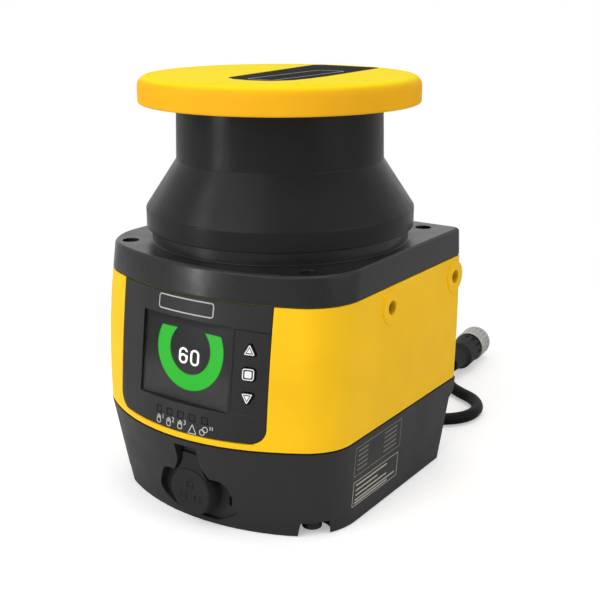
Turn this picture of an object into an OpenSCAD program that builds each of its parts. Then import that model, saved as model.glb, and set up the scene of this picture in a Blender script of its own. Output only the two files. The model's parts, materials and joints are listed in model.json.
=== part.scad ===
// Safety laser scanner: two-part housing, display bezel, round optical head and data port.
// +Z is up, the front faces -Y, and the optical head turns about the Z axis.
// All lengths are millimetres.

/* [Body] */
// Width of the housing
body_w = 102; // [98:0.5:110]
// Height of the lower housing
base_h = 34.5; // [33:0.5:38]
// Height of the main housing
housing_h = 48.5; // [47:0.5:54]
// Height of the top frame
frame_h = 9.9; // [9:0.1:12]
// Front face ahead of the head's axis, at the underside
front_foot = 53.5; // [53:0.1:54.5]
// Front face ahead of the head's axis, at the seam of the two housings
front_seam = 61.6; // [61:0.1:64]
// Front face ahead of the head's axis, at the frame seam
front_frame = 54.5; // [54:0.1:56]
// Front face ahead of the head's axis, at the top plate
front_plate = 53.5; // [53:0.1:54.5]
// Rear face behind the head's axis
rear = 47.2; // [46.8:0.1:50]
// Radius of the front curve at the underside
arc_foot = 81.5; // [75:0.5:90]
// Radius of the front curve at the housing seam
arc_seam = 72.7; // [70:0.1:80]
// Radius of the front curve at the frame seam
arc_frame = 93.3; // [85:0.1:100]
// Radius of the front curve at the top plate
arc_plate = 100; // [90:1:110]
// Front corner radius at the underside
corner_foot = 24.2; // [22:0.1:26]
// Front corner radius at the housing seam
corner_seam = 20.7; // [18:0.1:23]
// Front corner radius at half height of the main housing
corner_belly = 18; // [16:0.5:20]
// Front corner radius at the frame seam
corner_frame = 20.3; // [18:0.1:23]
// Front corner radius at the top plate
corner_plate = 24; // [22:0.5:26]
// Rear corner radius
rear_corner = 2.5; // [1:0.5:4]
// How far each side of the base leans in at the underside
foot_draft = 2.3; // [1.5:0.1:3]
// How far each side of the top plate leans in
plate_draft = 0.5; // [0:0.1:1]
// Outward swell of the main housing at half height
belly = 0.4; // [0:0.1:0.8]
// Wall thickness of the housings
wall = 2.5; // [2:0.1:3]
// Thickness of the seam gaskets
gasket_t = 0.6; // [0.4:0.1:1]
// How far the gaskets stay back from the outer face
gasket_back = 0.4; // [0.2:0.1:0.8]
// Edge round of the top plate
plate_edge = 0.8; // [0.4:0.1:1.2]

/* [Base] */
// Thickness of the floor of the lower housing
floor_t = 2.6; // [2:0.1:3.5]
// Rear lip behind the head's axis
lip_rear = 48.5; // [48:0.1:51]
// Height of the rear lip's underside
lip_z = 27.3; // [26:0.1:29]
// Height where the slanted rear wall ends
slant_z = 24.6; // [23:0.1:25.5]
// Slanted rear wall behind the head's axis, at its top
slant_top = 43.6; // [43:0.1:45]
// Slanted rear wall behind the head's axis, at the underside
slant_foot = 38.3; // [38:0.1:40]
// Radius of the corner screw pockets
pocket_r = 6.5; // [6:0.1:7]
// Height of the corner screw pockets
pocket_h = 5.2; // [4.8:0.1:6]
// Base screws to the side of the middle
base_screw_x = 39.5; // [38:0.5:41]
// Front base screws ahead of the head's axis
base_screw_front = 37.5; // [36:0.5:39]
// Rear base screws behind the head's axis
base_screw_rear = 30; // [26:0.5:31]
// Radius of the base screws' shafts
base_screw_r = 2; // [1.5:0.1:2.5]

/* [Frame] */
// Frame screws to the side of the middle
frame_screw_x = 38.6; // [38:0.1:39.5]
// Frame screws ahead of and behind the head's axis
frame_screw_y = 38.8; // [38.5:0.1:39.5]
// Radius of the frame screws' shafts
frame_screw_r = 1.5; // [1:0.1:1.8]
// Thickness of the top plate
plate_t = 3; // [2.5:0.1:4]
// Radius of the collar under the optical window
collar_r = 46.9; // [46.6:0.1:47]
// Height of the collar
collar_h = 4.5; // [4:0.1:5.5]

/* [Side mounts] */
// Front side mount ahead of the head's axis
mount_front = 6.7; // [4:0.1:10]
// Rear side mount behind the head's axis
mount_rear = 41.2; // [39:0.1:41.2]
// Height of the side mounts above the underside
mount_z = 75; // [73:0.5:75.5]
// Radius of the threaded hole
thread_r = 2.5; // [2:0.1:2.6]
// Radius of the brass insert
insert_r = 3.6; // [3:0.1:4]
// Length of the brass insert
insert_l = 8; // [6:0.5:8]
// Radius of the raised ring round a side mount
mount_ring_r = 5.9; // [5:0.1:5.9]
// Height of the raised ring
mount_ring_h = 0.5; // [0.3:0.1:0.8]

/* [Front bezel] */
// Width of the bezel
bezel_w = 64; // [62:0.5:66]
// Yellow strip left under the bezel
bezel_strip = 2; // [1.5:0.1:3]
// Lower corner radius of the bezel
bezel_r = 5; // [3:0.5:6]
// Thickness of the bezel with its rear flange
bezel_t = 4; // [3.8:0.1:4.3]
// Width of the rear flange outside the visible edge
bezel_flange = 1.6; // [1:0.1:1.8]

/* [Display] */
// Width of the display window
screen_w = 38; // [34:0.5:39]
// Height of the display window
screen_h = 29; // [26:0.5:30]
// Height of the display's middle above the underside
screen_z = 60.5; // [60:0.1:61.5]
// Depth of the window pane below the crown of the bezel
screen_depth = 2.7; // [2.6:0.1:2.9]
// Thickness of the window pane
pane_t = 0.8; // [0.5:0.1:1]
// Outer radius of the status ring on the screen
ring_r = 14.2; // [10:0.1:14.4]
// Width of the status ring
ring_w = 5.4; // [3:0.1:6]
// Status ring's middle above the display's middle
ring_up = 3.7; // [2:0.1:4]

/* [Keys] */
// Keys to the side of the middle
key_x = 25.7; // [25:0.1:26.2]
// Distance from one key to the next
key_pitch = 8.1; // [7:0.1:9]
// Size across a key
key_size = 4.1; // [3.8:0.1:5]
// How far a key presses in
key_travel = 0.8; // [0.5:0.1:0.9]
// How far a key stands out of the bezel
key_proud = 0.25; // [0.1:0.05:0.5]

/* [Status lights] */
// Distance from one light to the next
light_pitch = 4.9; // [4:0.1:5.2]
// Middle light to the side of the middle
light_x = 1.4; // [0:0.1:2]
// Height of the lights above the underside
light_z = 42.1; // [41.8:0.1:42.6]
// Width of a light window
light_w = 2.2; // [1.8:0.1:2.6]

/* [Optical head] */
// Skirt radius of the optical window
skirt_r = 48.7; // [48.4:0.1:49.5]
// Skirt height of the optical window
skirt_h = 6.8; // [5:0.1:8]
// Neck radius where the cone ends
neck_r = 37.4; // [37:0.1:38.5]
// Narrowing of the neck towards the cap
neck_taper = 0.5; // [0:0.1:0.8]
// Height of the cone
cone_h = 17; // [16:0.5:19]
// Height of the neck
neck_h = 20; // [20:0.1:22]
// Wall thickness of the optical window
window_t = 2.4; // [2:0.1:2.5]
// Radius of the top cap
cap_r = 50.2; // [49.5:0.1:53]
// Thickness of the top cap
cap_h = 9.4; // [9.2:0.1:11]
// Roof thickness of the top cap
cap_roof = 2.2; // [2:0.1:2.2]
// Edge round of the top cap
cap_edge = 3.6; // [1:0.1:4]

/* [Scanner drive] */
// Radius of the rotor shaft
shaft_r = 2.5; // [2:0.1:3]
// Outer radius of the bearings
bearing_r = 6.5; // [6:0.1:7]
// Height of one bearing
bearing_h = 3; // [2.5:0.1:3]
// Radius of the scan mirror as seen along the axis
mirror_r = 10; // [8:0.1:10.5]
// Radius of the encoder disc
encoder_r = 19; // [17:0.1:21]
// Number of slots in the encoder disc
encoder_slots = 24; // [12:1:36]
// Radius of the rotor bell
bell_r = 20; // [19:0.1:22]

/* [Receiver] */
// Radius of the receiver lens
lens_r = 18; // [15:0.1:19]
// Thickness of the receiver lens at its middle
lens_t = 5; // [4.5:0.1:5.5]
// Radius of the laser barrel in the middle of the lens
laser_r = 3.9; // [3:0.1:4.5]
// Number of dirt sensors under the window
dirt_sensors = 6; // [4:1:8]

/* [Data port] */
// Radius of the port cap
port_cap_r = 8.9; // [8.4:0.1:9]
// Height of the port above the underside
port_z = 12.6; // [12:0.1:12.8]
// Port to the side of the middle
port_x = 2.7; // [0:0.1:3]
// Front face of the port cap ahead of the head's axis
port_cap_front = 58.6; // [58.2:0.1:59]
// Thickness of the port cap
port_cap_t = 3.5; // [3.3:0.1:3.8]
// Width of the port cap's strap
strap_w = 7.4; // [6:0.1:8]
// Thickness of the port cap's strap
strap_t = 1.5; // [1.2:0.1:1.8]
// Height of the strap's crease
crease_z = 26.4; // [26.2:0.1:26.8]
// Inner radius of the port's socket
socket_r = 5.2; // [5:0.1:5.4]

/* [Cable and plug] */
// Diameter of the cable
cable_d = 5.1; // [5:0.1:5.6]
// Height of the cable gland above the underside
gland_z = 14; // [14:0.1:14]
// Outer radius of the plug's nut
nut_r = 7.4; // [7.4:0.1:7.4]
// Length of the plug's nut
nut_l = 12; // [10:0.5:13]
// Length of the plug's body with its strain relief
plug_l = 28; // [28:0.5:34]

/* [Fits] */
// Gap round a piece set into another
fit = 0.15; // [0.1:0.01:0.2]
// Gap round a screw or a shaft in its hole
bore_fit = 0.05; // [0.02:0.01:0.08]
// Gap round a key in the bezel
key_gap = 0.25; // [0.2:0.01:0.35]
// Gap between pieces that pass each other as they move
run_gap = 0.3; // [0.2:0.05:0.4]

/* [Hidden] */
$fn = 64;

eps = 0.01;
cut = 1;
half_w = body_w / 2;
z_frame = base_h + housing_h;
z_plate = z_frame + frame_h;
z_collar = z_plate + collar_h;

// A level of the housing: height, half width, front reach, front radius, corner radius
foot_level = [0, half_w - foot_draft, front_foot, arc_foot, corner_foot];
seam_level = [base_h, half_w, front_seam, arc_seam, corner_seam];
frame_level = [z_frame, half_w, front_frame, arc_frame, corner_frame];
plate_level = [z_plate, half_w - plate_draft, front_plate, arc_plate, corner_plate];
// The main housing swells between its seams, most at half height
belly_swell = [0, belly, belly, 0, corner_belly - (corner_seam + corner_frame) / 2];
function belly_level(t) = seam_level * (1 - t) + frame_level * t + belly_swell * 4 * t * (1 - t);
LEVELS = [foot_level, seam_level, belly_level(0.2), belly_level(0.4), belly_level(0.6), belly_level(0.8),
    frame_level, plate_level];

function level_at(z) =
    [for (k = [0:4]) k == 0 ? z : lookup(z, [for (level = LEVELS) [level[0], level[k]]])];
function arc_points(centre, r, from, to, steps) =
    [for (i = [0:steps]) centre + r * [cos(from + (to - from) * i / steps), sin(from + (to - from) * i / steps)]];

// Outline of the housing at one level: front curve, two corner rounds, two rear corners.
// inset moves the whole outline inwards.
front_steps = 16;
corner_steps = 9;
rear_steps = 3;
function outline(level, inset, back) =
    let (w = level[1] - inset, r = level[3] - inset, c = level[4] - inset,
        rr = max(rear_corner - inset, 0.5), front_y = r - level[2] + inset,
        cx = w - c, cy = front_y - sqrt((r - c) ^ 2 - cx ^ 2),
        turn = atan2(cy - front_y, cx))
    concat(
        arc_points([0, front_y], r, -180 - turn, turn, front_steps),
        arc_points([cx, cy], c, turn, 0, corner_steps),
        arc_points([w - rr, back - inset - rr], rr, 0, 90, rear_steps),
        arc_points([rr - w, back - inset - rr], rr, 90, 180, rear_steps),
        arc_points([-cx, cy], c, 180, 180 - turn, corner_steps));

// Solid block of the housing between two heights
module body_block(z0, z1, inset = 0, back = rear, edge = 0) {
    stops = concat([z0], [for (level = LEVELS) if (level[0] > z0 + eps && level[0] < z1 - eps) level[0]],
        edge > 0 ? [z1 - edge] : [], [z1]);
    hull()
        for (z = stops)
            translate([0, 0, z == z1 ? z - eps : z])
                linear_extrude(eps)
                    polygon(outline(level_at(z), inset + (z == z1 ? edge : 0), back));
}

// Outline that runs round a convex, counter-clockwise list of points at distance r
function heading(a, b) = atan2(b[1] - a[1], b[0] - a[0]);
function grown(points, r, steps = 6) =
    let (count = len(points))
    [for (i = [0:count - 1])
        let (before = points[(i + count - 1) % count], at = points[i], after = points[(i + 1) % count],
            from = heading(before, at) - 90, turn = (heading(at, after) - 90 - from + 720) % 360)
        each arc_points(at, r, from, from + turn, steps)];
module rounded_polygon(points, r) {
    polygon(grown(points, r));
}
module rounded_square(w, h, r) {
    rounded_polygon([[r - w / 2, r - h / 2], [w / 2 - r, r - h / 2],
        [w / 2 - r, h / 2 - r], [r - w / 2, h / 2 - r]], r);
}

// Closed path [x, y, radius] with its corners rounded
function unit(v) = v / norm(v);
function rounded_corner(before, at, after, r, steps) =
    r <= 0 ? [at] :
    let (a = unit(before - at), b = unit(after - at), half = acos(a * b) / 2,
        centre = at + unit(a + b) * r / sin(half),
        start = at + a * r / tan(half) - centre, end = at + b * r / tan(half) - centre,
        a0 = atan2(start[1], start[0]), a1 = atan2(end[1], end[0]),
        turn = a1 - a0 > 180 ? a1 - a0 - 360 : a1 - a0 < -180 ? a1 - a0 + 360 : a1 - a0)
    [for (i = [0:steps]) centre + r * [cos(a0 + turn * i / steps), sin(a0 + turn * i / steps)]];
function rounded_path(path, steps = 4) =
    let (count = len(path), p = [for (q = path) [q[0], q[1]]])
    [for (i = [0:count - 1])
        each rounded_corner(p[(i + count - 1) % count], p[i], p[(i + 1) % count], path[i][2], steps)];

// Extrusion of a front-view outline (X, Z) from depth y0 back to depth y1
module extrude_back(y0, y1) {
    translate([0, y1, 0])
        rotate([90, 0, 0])
            linear_extrude(y1 - y0)
                children();
}
module ring(r_out, r_in, h) {
    difference() {
        cylinder(h = h, r = r_out);
        translate([0, 0, -cut])
            cylinder(h = h + 2 * cut, r = r_in);
    }
}
module on_circle(count, r, first = 0) {
    for (i = [0:count - 1])
        rotate(first + i * 360 / count)
            translate([r, 0, 0])
                children();
}
module cylinder_x(r, x0, x1) {
    translate([x0, 0, 0])
        rotate([0, 90, 0])
            cylinder(h = x1 - x0, r = r);
}
module cylinder_y(r, y0, y1) {
    translate([0, y1, 0])
        rotate([90, 0, 0])
            cylinder(h = y1 - y0, r = r);
}
module mirror_x() {
    children();
    mirror([1, 0, 0])
        children();
}

// ---------- screws and columns ----------
column_r = 4.6;
base_column_r = 5;
frame_screw_head_r = 2.8;
frame_screw_head_h = 3;
frame_screw_sink = 0.9;
frame_screw_l = 12;
base_screw_head_r = 3.5;
base_screw_head_h = 3.2;
base_screw_into = 9;
base_screw_ys = [-base_screw_front, base_screw_rear];
frame_head_z = z_plate - frame_screw_sink - frame_screw_head_h;
frame_column_l = 13;
base_column_l = base_screw_into + 2.5;

module at_frame_screws() {
    for (x = [-frame_screw_x, frame_screw_x], y = [-frame_screw_y, frame_screw_y])
        translate([x, y, 0])
            children();
}
module at_base_screws() {
    for (x = [-base_screw_x, base_screw_x], y = base_screw_ys)
        translate([x, y, 0])
            children();
}
// Column round a screw with a rib to the side wall, kept inside the wall's outer face
rib_t = 2.4;
module ribbed_column(r, h) {
    cylinder(h = h, r = r);
    translate([0, -rib_t / 2, 0])
        cube([half_w, rib_t, h]);
}
module ribbed_columns(x, ys, r, h) {
    mirror_x()
        for (y = ys)
            translate([x, y, 0])
                ribbed_column(r, h);
}
// Socket head screw that points down from z = 0, with its head above
module socket_screw(r, length, head_r, head_h, key_r) {
    translate([0, 0, -length])
        cylinder(h = length + eps, r = r);
    difference() {
        cylinder(h = head_h, r = head_r);
        translate([0, 0, head_h * 0.5])
            cylinder(h = head_h, r = key_r, $fn = 6);
    }
}

// ---------- lower housing ----------
strap_gap = 0.9;
strap_back = port_cap_front - 0.9 - strap_t;
channel_top = crease_z + 4.7;
channel_back = strap_back - 0.9;
port_seat = port_cap_front - port_cap_t - 0.1;
port_block_w = 40;
port_block_back = 44;
well_r = port_cap_r + 1.1;
scoop_back = port_seat - 3.4;
scoop_r = 4.5;
shell_r = 6.6;
shell_flange_r = 7.6;
shell_flange_t = 1.6;
gland_r = 6.5;
gland_boss_r = 8.2;
gland_boss_back = slant_top;
gland_hole_r = 5;
board_t = 1.6;
interface_z = floor_t + 4.4;
interface_w = 66;
interface_front = 35;
interface_rear = 24;
interface_screw_x = 29;
interface_screw_y = [-31, 20];
board_screw_r = 1.2;

module at_interface_screws() {
    for (x = [-interface_screw_x, interface_screw_x], y = interface_screw_y)
        translate([x, y, 0])
            children();
}
module at_port() {
    translate([port_x, 0, port_z])
        children();
}
module port_scoop() {
    rounded_polygon([[-12.5, -3], [-7, -6], [7, -6], [12.5, -3], [10, 2], [-10, 2]], scoop_r);
}
// Right side of the port cap's strap from the disc up: half width and height above the port
function strap_side(grow) = [for (p = [[7, 5.2], [6, 7.4], [4.7, 9.6], [strap_w / 2, 12]]) [p[0] + grow, p[1]]];
module strap_outline(grow, top) {
    side = concat([[7 + grow, 0]], strap_side(grow), [[strap_w / 2 + grow, top - port_z]]);
    count = len(side);
    polygon(concat(side, [for (i = [1:count]) [-side[count - i][0], side[count - i][1]]]));
}
module lower_housing() {
    color([0.2, 0.2, 0.21])
        difference() {
            union() {
                difference() {
                    body_block(0, base_h, 0, lip_rear);
                    // slanted rear wall under the lip
                    translate([-body_w, 0, 0])
                        rotate([90, 0, 90])
                            linear_extrude(2 * body_w)
                                polygon([[slant_foot, 0], [slant_foot - cut * 0.22, -cut], [lip_rear + cut, -cut],
                                    [lip_rear + cut, lip_z], [lip_rear, lip_z], [slant_top, slant_z]]);
                }
                translate([0, 0, gland_z])
                    cylinder_y(gland_boss_r, slant_foot - wall, gland_boss_back);
            }
            // inside, with the port block, the screw columns and the board posts left standing
            difference() {
                union() {
                    body_block(floor_t, base_h + cut, wall, slant_foot);
                    translate([wall - half_w + 1, 0, lip_z + wall])
                        cube([body_w - 2 * wall - 2, rear - wall, base_h]);
                }
                translate([port_x - port_block_w / 2, -front_seam, -cut])
                    cube([port_block_w, front_seam - port_block_back, base_h + 2 * cut - gasket_t]);
                ribbed_columns(base_screw_x, base_screw_ys, base_column_r, base_h);
                at_interface_screws()
                    cylinder(h = interface_z, r = 2.8);
                translate([0, 0, gland_z])
                    cylinder_y(gland_boss_r, slant_foot - 2 * wall, slant_foot);
            }
            // corner screw pockets and screw holes
            at_base_screws() {
                translate([0, 0, -cut])
                    cylinder(h = pocket_h + cut, r = pocket_r);
                cylinder(h = base_h + cut, r = base_screw_r + bore_fit);
            }
            at_interface_screws()
                translate([0, 0, floor_t])
                    cylinder(h = interface_z, r = board_screw_r + bore_fit);
            // finger scoop, well of the port cap and channel of its strap
            at_port() {
                difference() {
                    extrude_back(-front_seam - cut, -scoop_back)
                        port_scoop();
                    cylinder_y(port_cap_r - 0.4, -port_seat, -port_block_back);
                }
                cylinder_y(well_r, -front_seam - cut, -port_seat);
                extrude_back(-front_seam - cut, -channel_back)
                    strap_outline(strap_gap, channel_top);
                // small drain slot at the right end of the scoop
                translate([11.7, -scoop_back - cut, -4.6])
                    cube([1.1, 2.6, 3.6]);
                // port bore
                cylinder_y(shell_r + bore_fit, -port_seat - cut, -port_block_back + cut);
            }
            // gland hole
            translate([0, 0, gland_z])
                cylinder_y(gland_hole_r + bore_fit, slant_foot - 3 * wall, gland_boss_back + cut);
        }
}
module base_screws() {
    color([0.3, 0.3, 0.31])
        at_base_screws()
            translate([0, 0, pocket_h])
                mirror([0, 0, 1])
                    socket_screw(base_screw_r, base_h - pocket_h + base_screw_into, base_screw_head_r,
                        base_screw_head_h, 1.75);
}
module gasket_between(z0, z1) {
    difference() {
        body_block(z0, z1, gasket_back);
        body_block(z0 - cut, z1 + cut, wall - 0.3);
    }
}
module base_gasket() {
    color([0.08, 0.08, 0.08])
        gasket_between(base_h, base_h + gasket_t);
}

// ---------- main housing ----------
insert_sink = 1.6;
insert_boss_l = 11.5;
bezel_z0 = base_h + bezel_strip;
bezel_z1 = z_frame - gasket_t;

module at_side_mounts() {
    mirror_x()
        for (y = [-mount_front, mount_rear])
            translate([half_w, y, mount_z])
                children();
}
// Front outline of the bezel, widened all round by grow
module bezel_outline(grow) {
    r = bezel_r + grow;
    w = bezel_w / 2 + grow - r;
    rounded_polygon([[-w, bezel_z0 - grow + r], [w, bezel_z0 - grow + r], [w, z_plate], [-w, z_plate]], r);
}
module main_housing() {
    color([0.98, 0.76, 0.12])
        difference() {
            union() {
                difference() {
                    body_block(base_h + gasket_t, z_frame - gasket_t);
                    difference() {
                        body_block(base_h - cut, z_frame + cut, wall);
                        translate([0, 0, z_frame - gasket_t - frame_column_l])
                            ribbed_columns(frame_screw_x, [-frame_screw_y, frame_screw_y], column_r, frame_column_l);
                        translate([0, 0, base_h + gasket_t])
                            ribbed_columns(base_screw_x, base_screw_ys, base_column_r, base_column_l);
                        at_side_mounts()
                            cylinder_x(insert_r + 1.6, -insert_boss_l, 0);
                    }
                }
                at_side_mounts()
                    cylinder_x(mount_ring_r, -wall / 2, belly + mount_ring_h);
            }
            at_frame_screws()
                translate([0, 0, z_frame - frame_column_l])
                    cylinder(h = frame_column_l + cut, r = frame_screw_r + bore_fit);
            at_base_screws()
                translate([0, 0, base_h - cut])
                    cylinder(h = base_screw_into + 2 * cut, r = base_screw_r + bore_fit);
            at_side_mounts() {
                cylinder_x(thread_r, -insert_sink - insert_l, mount_ring_h + belly + cut);
                cylinder_x(insert_r + bore_fit, -insert_sink - insert_l, -insert_sink);
            }
            extrude_back(-front_seam - cut, -base_screw_front)
                bezel_outline(fit);
            // screw holes of the main board's spacers
            at_main_board_screws()
                cylinder_y(board_screw_r + bore_fit, main_board_y, rear - 1.2);
        }
}
module mounting_inserts() {
    color([0.78, 0.62, 0.32])
        at_side_mounts()
            difference() {
                cylinder_x(insert_r, -insert_sink - insert_l, -insert_sink);
                cylinder_x(thread_r, -insert_sink - insert_l - cut, -insert_sink + cut);
            }
}
module frame_gasket() {
    color([0.3, 0.28, 0.1])
        gasket_between(z_frame - gasket_t, z_frame);
}

// ---------- top frame ----------
ledge_z = z_plate - 0.9;
ledge_r = 38.8;
chassis_r = 43.1;
seal_r_out = 46;
seal_r_in = 44.4;
seal_h = 1;
window_z = z_collar + 0.2;
chassis_screw_at = 41;
chassis_screw_r = 1.25;
chassis_screws_n = 4;

module top_frame() {
    color([0.16, 0.16, 0.17])
        difference() {
            union() {
                difference() {
                    body_block(z_frame, z_plate, 0, rear, plate_edge);
                    difference() {
                        body_block(z_frame - cut, z_plate - plate_t, wall);
                        at_frame_screws()
                            translate([0, 0, z_frame])
                                cylinder(h = frame_h, r = column_r);
                    }
                }
                translate([0, 0, z_plate - plate_t])
                    cylinder(h = plate_t + collar_h, r = collar_r);
            }
            translate([0, 0, -cut])
                cylinder(h = z_collar + 2 * cut, r = ledge_r);
            translate([0, 0, ledge_z])
                cylinder(h = z_collar, r = chassis_r + fit);
            translate([0, 0, window_z - seal_h])
                ring(seal_r_out, seal_r_in, seal_h + cut);
            on_circle(chassis_screws_n, chassis_screw_at, 45)
                cylinder(h = z_collar, r = chassis_screw_r + bore_fit);
            at_frame_screws() {
                cylinder(h = z_plate + cut, r = frame_screw_r + bore_fit);
                translate([0, 0, frame_head_z])
                    cylinder(h = z_plate, r = frame_screw_head_r + fit);
            }
        }
}
module frame_screws() {
    color([0.12, 0.12, 0.12])
        at_frame_screws()
            translate([0, 0, frame_head_z])
                socket_screw(frame_screw_r, frame_screw_l, frame_screw_head_r, frame_screw_head_h, 1.45);
}

// ---------- front bezel, display and keys ----------
lean = atan((front_seam - front_frame) / housing_h);
screen_front = level_at(screen_z)[2];
seat_depth = screen_depth + pane_t;
image_t = 0.1;
ring_x = 1.1;
mark_drop = 3.2;
module_depth = seat_depth + image_t;
module_w = screen_w + 4;
module_h = screen_h + 4;
module_t = 4.5;
frame_rim = 1.4;
frame_rim_t = 2.5;
board_depth = 12.3;
board_w = 60;
board_h = 40;
board_post_x = board_w / 2 - 3;
board_post_z = board_h / 2 - 2.5;
post_root = board_post_x ^ 2 / (arc_seam + arc_frame) + 2;
key_flange = 0.8;
key_flange_depth = board_depth - 2.3;
key_flange_t = 0.8;
dome_h = key_flange_depth + key_flange_t + key_travel + 0.1;
pipe_back = board_depth - 0.3;

// Display frame: x to the right, y back from the crown of the bezel, z up along its slope
module at_display() {
    translate([0, -screen_front, screen_z])
        rotate([-lean, 0, 0])
            children();
}
module key_outline(kind, grow) {
    r = kind == 1 ? 0.9 : 0.5;
    s = key_size / 2 - (kind == 1 ? r : r + 0.2);
    if (kind == 1)
        rounded_polygon([[-s, -s], [s, -s], [s, s], [-s, s]], r + grow);
    else
        mirror([0, kind == 0 ? 0 : 1])
            rounded_polygon([[-s, -s], [s, -s], [0, s]], r + grow);
}
module at_key(kind) {
    translate([key_x, 0, (1 - kind) * key_pitch / cos(lean)])
        children();
}
module at_lights() {
    for (i = [-2:2])
        translate([light_x + i * light_pitch, (light_z - screen_z) / cos(lean)])
            children();
}
module at_board_posts() {
    for (x = [-board_post_x, board_post_x], z = [-board_post_z, board_post_z])
        translate([x, 0, z])
            children();
}
module front_bezel() {
    color([0.19, 0.19, 0.2])
        difference() {
            union() {
                difference() {
                    union() {
                        intersection() {
                            body_block(bezel_z0, bezel_z1);
                            extrude_back(-front_seam - cut, 0)
                                bezel_outline(0);
                        }
                        intersection() {
                            body_block(base_h + gasket_t, bezel_z1, wall + fit);
                            extrude_back(-front_seam - cut, 0)
                                bezel_outline(bezel_flange);
                        }
                    }
                    body_block(base_h - cut, z_plate, bezel_t);
                }
                at_display() {
                    extrude_back(seat_depth + image_t, seat_depth + image_t + frame_rim_t)
                        square([module_w + 2 * frame_rim, module_h + 2 * frame_rim], center = true);
                    intersection() {
                        at_board_posts()
                            cylinder_y(2.2, post_root, board_depth);
                        extrude_back(post_root, board_depth)
                            square([board_w, board_h], center = true);
                    }
                }
            }
            at_display() {
                extrude_back(-cut * 2, screen_depth + cut)
                    rounded_square(screen_w, screen_h, 0.6);
                extrude_back(0, board_depth)
                    square([screen_w, screen_h], center = true);
                extrude_back(seat_depth, board_depth)
                    square([module_w + 2 * fit, module_h + 2 * fit], center = true);
                for (kind = [0:2])
                    at_key(kind)
                        extrude_back(-cut, board_depth)
                            key_outline(kind, key_gap);
                extrude_back(-cut * 2, board_depth)
                    at_lights()
                        square([light_w + 2 * fit, light_w + 2 * fit], center = true);
                at_board_posts()
                    cylinder_y(board_screw_r + bore_fit, post_root + 1, board_depth + cut);
            }
            // shallow panel round the keys
            difference() {
                at_display()
                    extrude_back(-cut * 2, board_depth / 2)
                        translate([screen_w / 2 + 1, -screen_h / 2 + 0.4])
                            square([half_w, screen_h - 0.6]);
                body_block(base_h, z_plate, 0.3);
            }
        }
}
module display_window() {
    color([0.1, 0.1, 0.11, 0.35])
        at_display()
            extrude_back(screen_depth, seat_depth)
                square([screen_w - 2 * fit, screen_h - 2 * fit], center = true);
}
module display_ring() {
    color([0.2, 0.8, 0.22])
        at_display()
            extrude_back(seat_depth, module_depth)
                translate([ring_x, ring_up])
                    difference() {
                        circle(r = ring_r);
                        circle(r = ring_r - ring_w);
                        translate([-body_w / 2, ring_r * 0.46])
                            square(body_w);
                    }
}
glyph_h = 6.6;
glyph_w = 4.1;
glyph_line = 0.85;
glyph_gap = 1.3;
module oval(w, h) {
    polygon(grown([[0, (w - h) / 2], [0.01, (w - h) / 2], [0.01, (h - w) / 2], [0, (h - w) / 2]], w / 2, 10));
}
module glyph_zero() {
    difference() {
        oval(glyph_w, glyph_h);
        oval(glyph_w - 2 * glyph_line, glyph_h - 2 * glyph_line);
    }
}
// The zero with its right side opened above a lower bowl
module glyph_six() {
    bowl = glyph_w / 2;
    difference() {
        glyph_zero();
        translate([0, glyph_w - glyph_h / 2 - glyph_line / 2])
            square([glyph_w, 1.3]);
    }
    translate([0, bowl - glyph_h / 2])
        difference() {
            circle(r = bowl);
            circle(r = bowl - glyph_line);
            translate([-glyph_w, -glyph_h])
                square([2 * glyph_w, glyph_h]);
        }
}
module display_mark() {
    color("white")
        at_display()
            extrude_back(seat_depth, module_depth)
                translate([ring_x, ring_up - mark_drop]) {
                    translate([-(glyph_w + glyph_gap) / 2, 0])
                        glyph_six();
                    translate([(glyph_w + glyph_gap) / 2, 0])
                        glyph_zero();
                }
}
module display_module() {
    color([0.12, 0.12, 0.13])
        at_display() {
            extrude_back(module_depth, module_depth + module_t)
                rounded_square(module_w, module_h, 0.5);
            // legs that stand on the display board
            for (x = [-module_w / 2 + 2, module_w / 2 - 2], z = [-module_h / 2 + 2, module_h / 2 - 2])
                translate([x, 0, z])
                    cylinder_y(1, module_depth + module_t - eps, board_depth);
        }
}
module button(kind) {
    color([0.24, 0.24, 0.25]) {
        intersection() {
            at_display()
                at_key(kind)
                    extrude_back(-2 * cut, key_flange_depth + eps)
                        key_outline(kind, 0);
            body_block(base_h, z_plate, -key_proud);
        }
        at_display()
            at_key(kind)
                extrude_back(key_flange_depth, key_flange_depth + key_flange_t)
                    key_outline(kind, key_flange);
    }
}
module light_pipes() {
    color([0.3, 0.3, 0.28])
        intersection() {
            at_display() {
                extrude_back(-2 * cut, pipe_back)
                    at_lights()
                        square(light_w, center = true);
                extrude_back(6.2, 7.4)
                    translate([light_x, (light_z - screen_z) / cos(lean)])
                        square([4 * light_pitch, light_w - 0.4], center = true);
            }
            body_block(base_h, z_plate, 0.1);
        }
}
module display_board() {
    color([0.05, 0.3, 0.15])
        at_display() {
            difference() {
                extrude_back(board_depth, board_depth + board_t)
                    rounded_square(board_w, board_h, 1);
                at_board_posts()
                    cylinder_y(board_screw_r + bore_fit, board_depth - cut, board_depth + board_t + cut);
            }
            // switch domes behind the keys
            for (kind = [0:2])
                at_key(kind)
                    cylinder_y(2, dome_h, board_depth + eps);
            // connector and driver chip on the back
            extrude_back(board_depth + board_t - eps, board_depth + board_t + 3)
                translate([-14, -15])
                    square([20, 4]);
            extrude_back(board_depth + board_t - eps, board_depth + board_t + 1.2)
                translate([-4, -3])
                    square([10, 10]);
        }
}

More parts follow.
